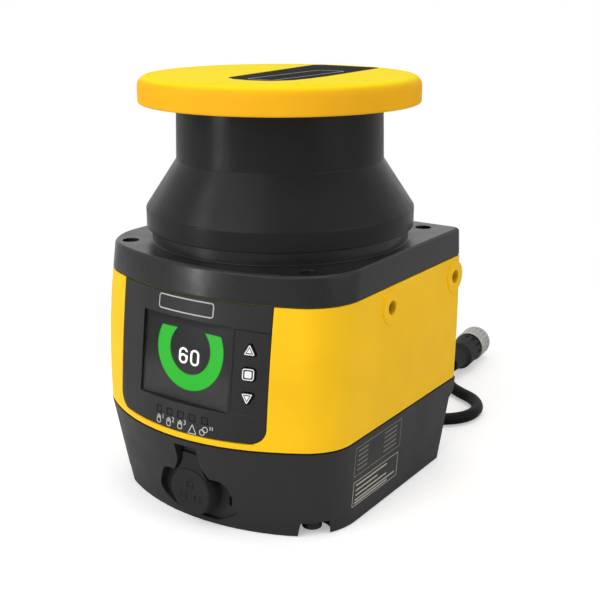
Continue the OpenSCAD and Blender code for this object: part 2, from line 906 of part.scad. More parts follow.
// ---------- boards inside the body ----------
main_board_w = 60;
main_board_z0 = base_h + 9;
main_board_h = 32;
main_board_y = 38.4;
screw_margin = 4;
main_screw_x = main_board_w / 2 - screw_margin;
main_screw_z = [screw_margin, main_board_h - screw_margin];
spacer_r = 2.4;
board_screw_head_r = 2.2;
board_screw_head_h = 1.5;
chip_w = 18;
chip_h = 1.8;
memory_w = 8;
memory_l = 12;
memory_h = 1.2;
connector_w = 16;
connector_t = 4.5;
connector_h = 5;
terminal_w = 28;
terminal_t = 7;
terminal_h = 8;
coil_w = 12;
coil_h = 6;
capacitor_r = 4;
capacitor_h = 10;

module at_main_board_screws() {
    for (x = [-main_screw_x, main_screw_x], z = main_screw_z)
        translate([x, 0, main_board_z0 + z])
            children();
}
// A block on the front of the main board, its middle at x and z above the board's foot
module on_main_board(x, z, w, h, t) {
    translate([x - w / 2, main_board_y - t, main_board_z0 + z - h / 2])
        cube([w, t + eps, h]);
}
module main_board() {
    color([0.05, 0.3, 0.15]) {
        difference() {
            translate([-main_board_w / 2, main_board_y, main_board_z0])
                cube([main_board_w, board_t, main_board_h]);
            at_main_board_screws()
                cylinder_y(board_screw_r + bore_fit, main_board_y - cut, main_board_y + board_t + cut);
        }
        // processor, memory chips and connectors on the front
        on_main_board(0, 17, chip_w, chip_w, chip_h);
        for (x = [-18, 18])
            on_main_board(x, 20, memory_w, memory_l, memory_h);
        for (x = [-12, 12])
            on_main_board(x, 3.5, connector_w, connector_t, connector_h);
    }
}
module interface_board() {
    color([0.05, 0.3, 0.15]) {
        difference() {
            translate([-interface_w / 2, -interface_front, interface_z])
                cube([interface_w, interface_front + interface_rear, board_t]);
            at_interface_screws()
                translate([0, 0, interface_z - cut])
                    cylinder(h = board_t + 2 * cut, r = board_screw_r + bore_fit);
        }
        // terminal block, coil and capacitors
        translate([-terminal_w / 2, interface_rear - terminal_t - 2, interface_z + board_t - eps])
            cube([terminal_w, terminal_t, terminal_h]);
        translate([8, -12, interface_z + board_t - eps])
            cube([coil_w, coil_w, coil_h]);
        for (x = [-20, -10])
            translate([x, -6, interface_z + board_t - eps])
                cylinder(h = capacitor_h, r = capacitor_r);
    }
}
module board_spacers() {
    color([0.75, 0.75, 0.72])
        at_main_board_screws()
            difference() {
                cylinder_y(spacer_r, main_board_y + board_t, rear - wall);
                cylinder_y(board_screw_r + bore_fit, main_board_y, rear);
            }
}
module pan_screw(length) {
    translate([0, 0, -length])
        cylinder(h = length + eps, r = board_screw_r);
    cylinder(h = board_screw_head_h, r1 = board_screw_head_r, r2 = board_screw_head_r * 0.7);
}
module board_screws() {
    color([0.7, 0.7, 0.7]) {
        at_interface_screws()
            translate([0, 0, interface_z + board_t])
                pan_screw(board_t + 3);
        at_main_board_screws()
            translate([0, main_board_y, 0])
                rotate([90, 0, 0])
                    pan_screw(rear - 1.4 - main_board_y);
        at_display()
            at_board_posts()
                translate([0, board_depth + board_t, 0])
                    rotate([-90, 0, 0])
                        pan_screw(board_t + 3);
    }
}

// ---------- data port ----------
port_face = port_seat - 2;
plug_tip = 1.5;
plug_tip_r = socket_r - 0.5;
pin_circle_r = 2;
pin_r = 0.5;
strap_mid = port_cap_front - 0.9 - strap_t / 2;

module port_shell() {
    color([0.72, 0.72, 0.7])
        at_port()
            difference() {
                union() {
                    cylinder_y(shell_r, -port_seat, -port_block_back + shell_flange_t);
                    cylinder_y(shell_flange_r, -port_block_back, -port_block_back + shell_flange_t);
                }
                cylinder_y(socket_r, -port_seat - cut, -port_block_back + shell_flange_t + cut);
            }
}
module port_insert() {
    color([0.1, 0.1, 0.1])
        at_port()
            difference() {
                cylinder_y(socket_r - bore_fit, -port_face, -port_block_back + 2.6);
                for (i = [0:3])
                    rotate([0, 45 + i * 90, 0])
                        translate([pin_circle_r, 0, 0])
                            cylinder_y(pin_r + bore_fit, -port_face - cut, -port_block_back + 2.6 + cut);
            }
}
module port_contacts() {
    color([0.85, 0.7, 0.35])
        at_port()
            for (i = [0:3])
                rotate([0, 45 + i * 90, 0])
                    translate([pin_circle_r, 0, 0])
                        cylinder_y(pin_r, -port_face + 1, -interface_front - 2);
}
module port_cap() {
    color([0.17, 0.17, 0.18])
        at_port() {
            // disc that widens towards its back, and a short stopper behind it
            translate([0, -port_cap_front + port_cap_t, 0]) {
                rotate([90, 0, 0])
                    rotate_extrude()
                        polygon(rounded_path([[0, 0, 0], [port_cap_r, 0, 0.3],
                            [port_cap_r - 0.5, port_cap_t, 0.8], [0, port_cap_t, 0]]));
                rotate([-90, 0, 0])
                    cylinder(h = plug_tip, r1 = plug_tip_r, r2 = plug_tip_r - 0.3);
            }
            // strap that widens into the disc
            extrude_back(-strap_mid - strap_t / 2, -strap_mid + strap_t / 2)
                strap_outline(0, crease_z);
            translate([0, -strap_mid, crease_z - port_z])
                cylinder_x(strap_t / 2, -strap_w / 2, strap_w / 2);
            // raised network sign: three squares
            for (at = [[0, 3.2], [-3.1, -1.6], [3.1, -1.6]])
                extrude_back(-port_cap_front - 0.3, -port_cap_front + 0.5)
                    translate(at)
                        difference() {
                            square(2.9, center = true);
                            square(2, center = true);
                        }
        }
}
module cap_anchor() {
    foot = crease_z + strap_t / 2 + 0.2;
    color([0.17, 0.17, 0.18])
        translate([port_x - strap_w / 2, -strap_mid + 0.1, foot])
            cube([strap_w, strap_mid - 0.1 - channel_back, channel_top - foot - fit]);
}

// ---------- optical head ----------
window_top = window_z + skirt_h + cone_h + neck_h - 0.6;
cap_seal_h = 0.6;
cap_z = window_top + cap_seal_h;
neck_z = window_z + skirt_h + cone_h;
cone_side = norm([skirt_r - neck_r, cone_h]);
window_side = window_t * cone_side / cone_h;
neck_top_r = neck_r - neck_taper;
spigot_r = neck_top_r - window_t - fit;
spigot_t = 2.6;
spigot_h = 2.8;
recess_r = spigot_r - spigot_t;
motor_plate_r = recess_r - fit;
motor_plate_t = 3;
motor_plate_z = cap_z - motor_plate_t;
label_t = 0.25;

module window_seal() {
    color([0.08, 0.08, 0.08])
        translate([0, 0, window_z - seal_h])
            ring(seal_r_out - fit / 2, seal_r_in + fit / 2, seal_h);
}
module optical_window() {
    skirt_in = skirt_r - window_t;
    neck_in = neck_r - window_t;
    slope = (skirt_r - neck_r) / cone_h;
    z_in = window_z + skirt_h + (skirt_r - window_side - skirt_in) / slope;
    z_out = window_z + skirt_h + (skirt_r - window_side - neck_in) / slope;
    color([0.13, 0.13, 0.14])
        rotate_extrude($fn = 128)
            polygon(rounded_path([
                [seal_r_in - 0.5, window_z, 0], [skirt_r, window_z, 0.4],
                [skirt_r, window_z + skirt_h, 1.2], [neck_r, neck_z, 1], [neck_top_r, window_top, 0],
                [neck_top_r - window_t, window_top, 0], [neck_in, z_out, 0], [skirt_in, z_in, 0],
                [skirt_in, window_z + 2, 0.5], [seal_r_in - 0.5, window_z + 2, 0]], 3));
}
module cap_seal() {
    color([0.06, 0.06, 0.06])
        translate([0, 0, window_top])
            ring(neck_top_r - 0.3, neck_top_r - window_t + 0.2, cap_seal_h);
}
// Label on the cap as seen from above
label_r = 0.08 * cap_r;
module label_outline(grow) {
    rounded_polygon(cap_r * [[-0.187, 0.803], [-0.042, -0.398], [0.03, -0.444], [0.139, -0.458],
        [0.239, -0.434], [0.291, -0.349], [0.309, -0.199], [0.307, 0], [0.281, 0.339], [0.239, 0.803]],
        label_r + grow);
}
module top_cap() {
    color([0.98, 0.86, 0.15])
        difference() {
            translate([0, 0, cap_z])
                rotate_extrude($fn = 128)
                    polygon(rounded_path([[0, 0, 0], [cap_r, 0, 0.8], [cap_r, cap_h, cap_edge], [0, cap_h, 0]], 5));
            translate([0, 0, cap_z - cut])
                cylinder(h = cap_h - cap_roof + cut, r = recess_r);
            translate([0, 0, cap_z + cap_h - label_t - 0.05])
                linear_extrude(cap_h)
                    label_outline(fit);
        }
    color([0.98, 0.86, 0.15]) {
        translate([0, 0, cap_z - spigot_h])
            ring(spigot_r, recess_r, spigot_h + eps);
        // bosses for the motor plate's screws
        on_circle(3, motor_plate_r - 3, 30)
            translate([0, 0, cap_z + fit / 2])
                ring(2.6, 1.25, cap_h - cap_roof);
    }
}
module cap_label() {
    color([0.12, 0.12, 0.13])
        translate([0, 0, cap_z + cap_h - label_t])
            linear_extrude(label_t)
                label_outline(0);
}

// ---------- scanner drive ----------
tube_r = bearing_r + 1.5;
lower_bearing_z = motor_plate_z + 0.2;
upper_bearing_z = cap_z + cap_h - cap_roof - 1.8 - bearing_h;
stator_z = cap_z + 1;
stator_h = 4;
teeth = 9;
tooth_r = 15.4;
tooth_w = 1.8;
yoke = 1.8;
coil_t = 0.9;
magnet_t = 1.4;
bell_t = 0.8;
bell_z = cap_z + cap_h - cap_roof - 0.5 - bell_t;
mirror_t = 1.2;
mirror_z = motor_plate_z - 14.4;
carrier_r = mirror_r + 1;
carrier_top = mirror_z + mirror_r + 1.2;
hub_r = 5;
encoder_z = carrier_top + 0.6;
encoder_t = 0.5;
fork_gap = 0.6;
fork_t = 1;
fork_w = 8;

module motor_plate() {
    color([0.75, 0.76, 0.78])
        difference() {
            union() {
                translate([0, 0, motor_plate_z])
                    cylinder(h = motor_plate_t, r = motor_plate_r);
                translate([0, 0, motor_plate_z])
                    cylinder(h = upper_bearing_z + bearing_h - motor_plate_z, r = tube_r);
            }
            translate([0, 0, lower_bearing_z])
                cylinder(h = cap_h + motor_plate_t, r = bearing_r + bore_fit);
            translate([0, 0, motor_plate_z - cut])
                cylinder(h = 2 * cut, r = hub_r + run_gap);
            on_circle(3, motor_plate_r - 3, 30)
                translate([0, 0, motor_plate_z - cut])
                    cylinder(h = motor_plate_t + 2 * cut, r = 1.25);
            // hole for the motor's wires above the rear column
            rotate(90)
                translate([motor_plate_r - 7, 0, motor_plate_z - cut])
                    cylinder(h = motor_plate_t + 2 * cut, r = 2);
        }
}
module cap_screws() {
    color([0.7, 0.7, 0.7])
        on_circle(3, motor_plate_r - 3, 30)
            translate([0, 0, motor_plate_z])
                mirror([0, 0, 1])
                    socket_screw(1.2, 7.5, 2.1, 1.4, 1.1);
}
module bearings() {
    color([0.8, 0.8, 0.82])
        for (z = [lower_bearing_z, upper_bearing_z])
            translate([0, 0, z])
                rotate_extrude()
                    polygon([[shaft_r, 0], [shaft_r + 1, 0], [shaft_r + 1, 0.3], [bearing_r - 1, 0.3],
                        [bearing_r - 1, 0], [bearing_r, 0], [bearing_r, bearing_h], [bearing_r - 1, bearing_h],
                        [bearing_r - 1, bearing_h - 0.3], [shaft_r + 1, bearing_h - 0.3],
                        [shaft_r + 1, bearing_h], [shaft_r, bearing_h]]);
}
module motor_stator() {
    slot_in = tube_r + yoke;
    slot_out = tooth_r - 0.9;
    half_in = slot_in * tan(180 / teeth) - tooth_w / 2;
    half_out = slot_out * tan(180 / teeth) - tooth_w / 2;
    mouth = 0.8;
    color([0.55, 0.56, 0.58])
        translate([0, 0, stator_z])
            difference() {
                cylinder(h = stator_h, r = tooth_r);
                translate([0, 0, -cut])
                    cylinder(h = stator_h + 2 * cut, r = tube_r + bore_fit);
                // a winding slot between each two teeth, open to the outside through a narrow mouth
                for (i = [0:teeth - 1])
                    rotate((i + 0.5) * 360 / teeth)
                        translate([0, 0, -cut])
                            linear_extrude(stator_h + 2 * cut)
                                polygon([[slot_in, -half_in], [slot_out, -half_out], [slot_out, -mouth],
                                    [tooth_r + cut, -mouth], [tooth_r + cut, mouth], [slot_out, mouth],
                                    [slot_out, half_out], [slot_in, half_in]]);
            }
}
module motor_coils() {
    color([0.75, 0.42, 0.2])
        translate([0, 0, stator_z + 0.3])
            on_circle(teeth, 0)
                for (y = [-tooth_w / 2 - coil_t, tooth_w / 2])
                    translate([tube_r + 2 * yoke, y, 0])
                        cube([tooth_r - tube_r - 3 * yoke, coil_t, stator_h - 0.6]);
}
module rotor_shaft() {
    color([0.8, 0.8, 0.82])
        translate([0, 0, carrier_top - 1.5])
            cylinder(h = bell_z + bell_t - carrier_top + 1.5, r = shaft_r - bore_fit);
}
module rotor_bell() {
    color([0.45, 0.46, 0.5])
        difference() {
            union() {
                translate([0, 0, bell_z])
                    cylinder(h = bell_t, r = bell_r);
                translate([0, 0, stator_z])
                    ring(bell_r, bell_r - 0.8 - magnet_t, bell_z - stator_z + eps);
            }
            translate([0, 0, bell_z - cut])
                cylinder(h = bell_t + 2 * cut, r = shaft_r);
            on_circle(6, 12)
                translate([0, 0, bell_z - cut])
                    cylinder(h = bell_t + 2 * cut, r = 3);
        }
}
module encoder_disc() {
    color([0.3, 0.3, 0.32])
        translate([0, 0, encoder_z])
            difference() {
                cylinder(h = encoder_t, r = encoder_r);
                translate([0, 0, -cut])
                    cylinder(h = encoder_t + 2 * cut, r = hub_r);
                on_circle(encoder_slots, encoder_r - 2.4)
                    translate([-1.2, -0.8, -cut])
                        cube([2.4, 1.6, encoder_t + 2 * cut]);
            }
}
module encoder_sensor() {
    color([0.1, 0.1, 0.1])
        rotate(90)
            difference() {
                translate([encoder_r - 4.5, -fork_w / 2, encoder_z - fork_gap - fork_t])
                    cube([6.5, fork_w, motor_plate_z - encoder_z + fork_gap + fork_t]);
                translate([0, -fork_w, encoder_z - fork_gap])
                    cube([encoder_r + 0.7, 2 * fork_w, encoder_t + 2 * fork_gap]);
            }
}
// Half space above the mirror's plane, which faces down and forwards
module above_mirror(raise) {
    translate([0, 0, mirror_z + raise * sqrt(2)])
        rotate([45, 0, 0])
            translate([-50, -50, 0])
                cube([100, 100, 60]);
}
module mirror_carrier() {
    color([0.15, 0.15, 0.16])
        difference() {
            union() {
                intersection() {
                    translate([0, 0, mirror_z - carrier_r])
                        cylinder(h = carrier_top - mirror_z + carrier_r, r = carrier_r);
                    above_mirror(mirror_t);
                }
                translate([0, 0, carrier_top - eps])
                    cylinder(h = motor_plate_z - carrier_top - run_gap, r = hub_r - bore_fit);
                translate([0, 0, carrier_top - eps])
                    cylinder(h = encoder_z - carrier_top + eps, r = hub_r + 1.5);
            }
            translate([0, 0, carrier_top - 1.5])
                cylinder(h = cap_h, r = shaft_r - bore_fit);
            // lightening bores
            for (x = [-6, 6])
                translate([x, -2.5, carrier_top - 6])
                    cylinder(h = 10, r = 1.8);
        }
}
module scan_mirror() {
    color([0.85, 0.9, 0.95])
        intersection() {
            translate([0, 0, mirror_z - 2 * carrier_r])
                cylinder(h = 4 * carrier_r, r = mirror_r);
            difference() {
                above_mirror(0);
                above_mirror(mirror_t);
            }
        }
}

// ---------- receiver and window supervision ----------
chassis_t = 3;
chassis_bore = lens_r + 4.4;
column_r_out = neck_r - window_t - 1.5;
column_r_in = column_r_out - 3;
column_sweep = 66;
holder_flange_z = ledge_z + chassis_t;
holder_top = holder_flange_z + 17;
lens_z = holder_top - 5.5;
lens_edge = 1.6;
holder_bottom = holder_flange_z - 7;
detector_z = holder_bottom - board_t;
detector_w = 30;
detector_can_r = 4.6;
detector_can_h = 3;
dirt_r_in = 36.2;
dirt_r_out = 42.6;
dirt_z = holder_flange_z + 3;
dirt_led_r = 39.4;

module optics_chassis() {
    color([0.3, 0.31, 0.33])
        difference() {
            union() {
                translate([0, 0, ledge_z])
                    cylinder(h = chassis_t, r = chassis_r);
                // rear column that carries the drive
                rotate(90 - column_sweep / 2)
                    translate([0, 0, ledge_z])
                        rotate_extrude(angle = column_sweep)
                            translate([column_r_in, 0])
                                square([column_r_out - column_r_in, motor_plate_z - ledge_z - 3]);
                rotate(90 - column_sweep / 2)
                    translate([0, 0, motor_plate_z - 3 - eps])
                        rotate_extrude(angle = column_sweep)
                            translate([encoder_r + 3.5, 0])
                                square([recess_r - encoder_r - 3.7, 3 + eps]);
                on_circle(dirt_sensors, dirt_led_r, 30)
                    translate([0, 0, ledge_z])
                        cylinder(h = dirt_z - ledge_z, r = 1.5);
            }
            translate([0, 0, ledge_z - cut])
                cylinder(h = chassis_t + 2 * cut, r = chassis_bore);
            on_circle(chassis_screws_n, chassis_screw_at, 45)
                translate([0, 0, ledge_z - cut])
                    cylinder(h = chassis_t + 2 * cut, r = chassis_screw_r + bore_fit);
        }
}
module chassis_screws() {
    color([0.7, 0.7, 0.7])
        on_circle(chassis_screws_n, chassis_screw_at, 45)
            translate([0, 0, holder_flange_z])
                socket_screw(chassis_screw_r, 5.4, 1.9, 1.5, 1);
}
module lens_holder() {
    flange_r = chassis_bore + 2.6;
    tube = lens_r + 2.4;
    mouth = 9.4;
    color([0.12, 0.12, 0.13]) {
        rotate_extrude()
            polygon([
                [mouth, holder_bottom], [mouth + 2.4, holder_bottom], [tube, ledge_z - 0.6], [tube, holder_flange_z],
                [flange_r, holder_flange_z], [flange_r, holder_flange_z + 2], [tube, holder_flange_z + 2],
                [tube, holder_top], [lens_r + 0.1, holder_top], [lens_r + 0.1, lens_z],
                [lens_r - 1.5, lens_z], [lens_r - 1.5, holder_flange_z], [mouth, holder_bottom + 2]]);
        // bar that carries the laser barrel
        difference() {
            union() {
                translate([1.5 - lens_r, -1.5, holder_flange_z + 1])
                    translate([-0.5, 0, 0])
                        cube([2 * lens_r - 2, 3, 2.2]);
                translate([0, 0, holder_flange_z + 1])
                    cylinder(h = 4, r = laser_r + 1.2);
            }
            translate([0, 0, holder_flange_z + 2])
                cylinder(h = 10, r = laser_r + bore_fit);
        }
    }
}
module receiver_lens() {
    dome_r = (lens_r ^ 2 + (lens_t - lens_edge) ^ 2) / (2 * (lens_t - lens_edge));
    color([0.6, 0.75, 0.85, 0.5])
        difference() {
            intersection() {
                translate([0, 0, lens_z])
                    cylinder(h = lens_t, r = lens_r);
                translate([0, 0, lens_z + lens_t - dome_r])
                    sphere(r = dome_r, $fn = 96);
            }
            translate([0, 0, lens_z - cut])
                cylinder(h = lens_t + 2 * cut, r = laser_r + 0.2);
        }
}
module laser_module() {
    color([0.8, 0.68, 0.4])
        difference() {
            translate([0, 0, holder_flange_z + 2])
                cylinder(h = lens_z + lens_t - holder_flange_z - 1.5, r = laser_r);
            translate([0, 0, lens_z + lens_t - 1.5])
                cylinder(h = 3, r = laser_r - 1.2);
        }
}
module detector_board() {
    color([0.05, 0.3, 0.15])
        translate([-detector_w / 2, -detector_w / 2, detector_z])
            cube([detector_w, detector_w, board_t]);
    color([0.8, 0.7, 0.4])
        translate([0, 0, detector_z + board_t - eps])
            cylinder(h = detector_can_h, r = detector_can_r);
}
module dirt_sensor_ring() {
    color([0.05, 0.3, 0.15])
        translate([0, 0, dirt_z])
            ring(dirt_r_out, dirt_r_in, board_t);
    color([0.7, 0.72, 0.8])
        on_circle(dirt_sensors, dirt_led_r, 30)
            translate([0, 0, dirt_z + board_t - eps])
                cylinder(h = 1.8, r = 1.3);
}

// ---------- cable and plug ----------
gland_flange_t = 4;
gland_l = 12;
gland_tip = gland_boss_back + gland_l;
gland_grip = 6;
cable_r = cable_d / 2;
floor_z = cable_r;
plug_at = [13.6, 118.5];
plug_turn = 7.1;
cable_into_plug = 4;
plug_dir = [-sin(plug_turn), cos(plug_turn), 0];

module cable_gland() {
    color([0.12, 0.12, 0.12])
        difference() {
            union() {
                translate([0, gland_boss_back, gland_z])
                    rotate([-90, 0, 0])
                        rotate_extrude()
                            polygon(rounded_path([[0, 0, 0], [gland_r, 0, 0], [gland_r, gland_flange_t, 0.8],
                                [gland_r - 1, gland_flange_t + 1, 0], [cable_r + 1.2, gland_l, 0.5], [0, gland_l, 0]]));
                translate([0, 0, gland_z])
                    cylinder_y(gland_hole_r, slant_foot - 2 * wall - 2, gland_boss_back + eps);
                translate([0, 0, gland_z])
                    cylinder_y(gland_r, slant_foot - 2 * wall - 2, slant_foot - 2 * wall);
            }
            translate([0, 0, gland_z])
                cylinder_y(cable_r + bore_fit, gland_tip - gland_grip, gland_tip + cut);
        }
}
// Route of the cable's middle line, from inside the gland to inside the plug
route = concat([
    [0, gland_tip - gland_grip, gland_z], [0, gland_tip, gland_z], [-0.3, 62, 12.8], [-1.6, 69.5, 9.4],
    [-4.6, 76.8, 6], [-10, 82.6, 3.6], [-17.6, 86, floor_z], [-26, 85.4, floor_z], [-33, 80.8, floor_z],
    [-37, 73.4, floor_z], [-36.6, 65, floor_z], [-31.6, 58.2, floor_z], [-22, 53.6, floor_z],
    [-10, 52, floor_z], [2, 53.2, floor_z], [14, 57, floor_z], [26, 62.8, floor_z], [36, 69.2, floor_z],
    [41.6, 75.6, floor_z], [43.4, 83, floor_z], [41.6, 90.4, floor_z], [36.5, 96.4, floor_z],
    [29.5, 100, floor_z], [23, 103.2, 3], [18, 107.6, 4.6], [15, 113, 6.6]],
    [[plug_at[0], plug_at[1], nut_r] + plug_dir * 0.2,
        [plug_at[0], plug_at[1], nut_r] + plug_dir * cable_into_plug]);
cable_sides = 10;
function route_dir(i) =
    i == 0 ? [0, 1, 0] : i == len(route) - 1 ? plug_dir :
    unit(unit(route[i + 1] - route[i]) + unit(route[i] - route[i - 1]));
module cable() {
    last = len(route) - 1;
    rings = [for (i = [0:last])
        let (d = route_dir(i), side = unit(cross([0, 0, 1], d)), up = cross(d, side))
        for (k = [0:cable_sides - 1])
            let (a = k * 360 / cable_sides)
            route[i] + cable_r * (cos(a) * side + sin(a) * up)];
    color([0.07, 0.07, 0.08])
        polyhedron(points = rings, faces = concat(
            [[for (k = [0:cable_sides - 1]) k]],
            [for (i = [0:last - 1], k = [0:cable_sides - 1])
                let (a = i * cable_sides + k, b = i * cable_sides + (k + 1) % cable_sides)
                [a, a + cable_sides, b + cable_sides, b]],
            [[for (k = [cable_sides - 1:-1:0]) last * cable_sides + k]]));
}
// Plug frame: z along the plug from its strain relief to its face
module at_plug() {
    translate([plug_at[0], plug_at[1], nut_r])
        rotate([0, 0, plug_turn])
            rotate([-90, 0, 0])
                children();
}
relief_l = 11;
relief_r = cable_r + 1.3;
plug_body_r = nut_r - 0.8;
neck_pin_r = 4.6;
neck_pin_l = 3;
nut_wall_t = neck_pin_l - 2 * run_gap;
nut_bore_r = nut_r - 1.4;
insert_face_r = nut_bore_r - 0.7;
knurls = 20;

module plug_body() {
    color([0.1, 0.1, 0.11])
        at_plug()
            difference() {
                union() {
                    rotate_extrude()
                        polygon(rounded_path([[0, 0, 0], [relief_r, 0, 0.5], [relief_r + 1.2, relief_l, 0],
                            [plug_body_r, relief_l + 2.5, 1.5], [plug_body_r, plug_l, 0.6], [0, plug_l, 0]]));
                    translate([0, 0, plug_l - eps])
                        cylinder(h = neck_pin_l + eps, r = neck_pin_r);
                }
                translate([0, 0, -cut])
                    cylinder(h = cable_into_plug + cut, r = cable_r + bore_fit);
                // grip grooves
                for (a = [0:30:330])
                    rotate(a)
                        translate([plug_body_r + 0.5, 0, relief_l + 6])
                            cylinder(h = plug_l - relief_l - 8, r = 1, $fn = 24);
            }
}
module plug_nut() {
    color([0.62, 0.62, 0.6])
        at_plug()
            translate([0, 0, plug_l + run_gap])
                difference() {
                    rotate_extrude()
                        polygon(rounded_path([[neck_pin_r + bore_fit, 0, 0], [nut_r, 0, 0.6], [nut_r, nut_l, 0.9],
                            [nut_bore_r, nut_l, 0], [nut_bore_r, nut_wall_t, 0], [neck_pin_r + bore_fit, nut_wall_t, 0]]));
                    on_circle(knurls, nut_r + 0.25, 9)
                        translate([0, 0, 1.2])
                            cylinder(h = nut_l - 4, r = 0.6, $fn = 16);
                }
}
module plug_insert() {
    color([0.1, 0.1, 0.1])
        at_plug()
            translate([0, 0, plug_l + neck_pin_l])
                difference() {
                    cylinder(h = nut_l - neck_pin_l - 0.4, r = insert_face_r);
                    on_circle(5, 2.6, 90)
                        translate([0, 0, 2])
                            cylinder(h = nut_l, r = 0.55, $fn = 24);
                    translate([insert_face_r, 0, 2])
                        cylinder(h = nut_l, r = 0.8, $fn = 24);
                }
}

lower_housing();
base_screws();
base_gasket();
main_housing();
mounting_inserts();
frame_gasket();
top_frame();
frame_screws();
front_bezel();
display_window();
display_ring();
display_mark();
display_module();
button(0);  // button_up
button(1);  // button_select
button(2);  // button_down
light_pipes();
display_board();
main_board();
interface_board();
board_spacers();
board_screws();
port_shell();
port_insert();
port_contacts();
port_cap();
cap_anchor();
window_seal();
optical_window();
cap_seal();
top_cap();
cap_label();
motor_plate();
cap_screws();
motor_stator();
motor_coils();
bearings();
rotor_shaft();
rotor_bell();
encoder_disc();
encoder_sensor();
mirror_carrier();
scan_mirror();
optics_chassis();
chassis_screws();
lens_holder();
receiver_lens();
laser_module();
detector_board();
dirt_sensor_ring();
cable_gland();
cable();
plug_body();
plug_nut();
plug_insert();
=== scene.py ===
# %% [markdown]
# # A safety laser scanner
#
# The real scanner is a black base, a yellow housing, a black top frame and a round
# optical head under a flat yellow cap. The exact solids come from the imported frame.
# This lesson gives each of them its finish, and adds what is too fine for them: printed
# signs, labels, moulding marks and the cable.
#
# We start by loading the frame. A small helper reads the box of any of its solids.

# %% Load the frame
import json
import math
import bpy
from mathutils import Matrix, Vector


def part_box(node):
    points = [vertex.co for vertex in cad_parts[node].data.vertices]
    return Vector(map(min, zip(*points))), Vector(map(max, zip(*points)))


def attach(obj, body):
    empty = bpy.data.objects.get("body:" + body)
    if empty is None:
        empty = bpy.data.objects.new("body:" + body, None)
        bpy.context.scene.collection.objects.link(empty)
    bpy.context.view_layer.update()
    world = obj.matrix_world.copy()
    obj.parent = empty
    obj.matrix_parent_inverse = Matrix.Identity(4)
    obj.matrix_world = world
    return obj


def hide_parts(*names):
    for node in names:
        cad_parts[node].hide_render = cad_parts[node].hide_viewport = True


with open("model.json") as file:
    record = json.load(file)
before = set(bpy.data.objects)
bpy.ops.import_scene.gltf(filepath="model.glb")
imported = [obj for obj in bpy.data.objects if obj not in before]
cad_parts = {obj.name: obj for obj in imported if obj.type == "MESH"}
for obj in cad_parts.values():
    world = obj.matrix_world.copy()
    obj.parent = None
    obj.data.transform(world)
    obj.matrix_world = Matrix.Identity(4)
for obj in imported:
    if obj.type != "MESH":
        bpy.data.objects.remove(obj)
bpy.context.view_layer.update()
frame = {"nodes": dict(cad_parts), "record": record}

MM = 0.001

# %% [markdown]
# ## The camera
#
# The scanner is seen from its front right, a little from above, with a long lens. We
# could aim the camera with a constraint. Here it looks back along one direction, so its
# turn comes from that direction alone.

# %% Camera
azimuth, elevation = math.radians(34.53), math.radians(17.0)
camera_place = (0.2175, -0.3035, 0.18126)
lens_mm, sensor_mm, nearest_m = 62.14, 36, 0.01
towards_camera = Vector((
    math.sin(azimuth) * math.cos(elevation),
    -math.cos(azimuth) * math.cos(elevation),
    math.sin(elevation)))
camera_data = bpy.data.cameras.new("camera")
camera_data.lens = lens_mm
camera_data.sensor_width = sensor_mm
camera_data.clip_start = nearest_m
camera = bpy.data.objects.new("camera", camera_data)
bpy.context.collection.objects.link(camera)
camera.location = camera_place
camera.rotation_euler = towards_camera.to_track_quat("Z", "Y").to_euler()
bpy.context.scene.camera = camera
print("camera at", camera_place)

# %% [markdown]
# ## The cable
#
# A short round cable leaves the rear gland, drops to the table, turns back under itself
# and ends in a round plug. Its points, in millimetres, are the ones that the solid cable
# follows. Straight runs between them would show as kinks, so they are joined by a smooth
# line. That line can dip a hair between two points, so it is held one radius above the
# table.

# %% Cable route
cable_r = 2.55
gland_tip, gland_height = 55.6, 14
plug_centre = Vector((13.6, 118.5, 7.4))
plug_turn = math.radians(7.1)
plug_way = Vector((-math.sin(plug_turn), math.cos(plug_turn), 0))
into_plug = (0.2, 4)
cable_points = [Vector(p) for p in (
    (0, gland_tip, gland_height), (-0.3, 62, 12.8), (-1.6, 69.5, 9.4), (-4.6, 76.8, 6),
    (-10, 82.6, 3.6),
    (-17.6, 86, cable_r), (-26, 85.4, cable_r), (-33, 80.8, cable_r), (-37, 73.4, cable_r),
    (-36.6, 65, cable_r), (-31.6, 58.2, cable_r), (-22, 53.6, cable_r), (-10, 52, cable_r),
    (2, 53.2, cable_r), (14, 57, cable_r), (26, 62.8, cable_r), (36, 69.2, cable_r),
    (41.6, 75.6, cable_r), (43.4, 83, cable_r), (41.6, 90.4, cable_r), (36.5, 96.4, cable_r),
    (29.5, 100, cable_r), (23, 103.2, 3), (18, 107.6, 4.6), (15, 113, 6.6))]
cable_points += [plug_centre + plug_way * depth for depth in into_plug]
print("cable points:", len(cable_points))

# %% Smooth line through the points
def smooth_route(points, steps):
    """More points on a smooth line through the given ones."""
    line = []
    ends = [points[0] * 2 - points[1]] + points + [points[-1] * 2 - points[-2]]
    for a, b, c, d in zip(ends, ends[1:], ends[2:], ends[3:]):
        for i in range(steps):
            t = i / steps
            line.append(0.5 * (2 * b + (c - a) * t + (2 * a - 5 * b + 4 * c - d) * t ** 2
                               + (3 * b - a - 3 * c + d) * t ** 3))
    return line + [points[-1]]


steps_between = 8
cable_line = [Vector((p.x, p.y, max(p.z, cable_r))) * MM
              for p in smooth_route(cable_points, steps_between)]

# %% [markdown]
# A curve with a round bevel gives the jacket. We could sweep a mesh by hand, but a curve
# keeps its thickness in every bend. The bevel is one metre deep, and the radius of each
# point brings it down to the real size.

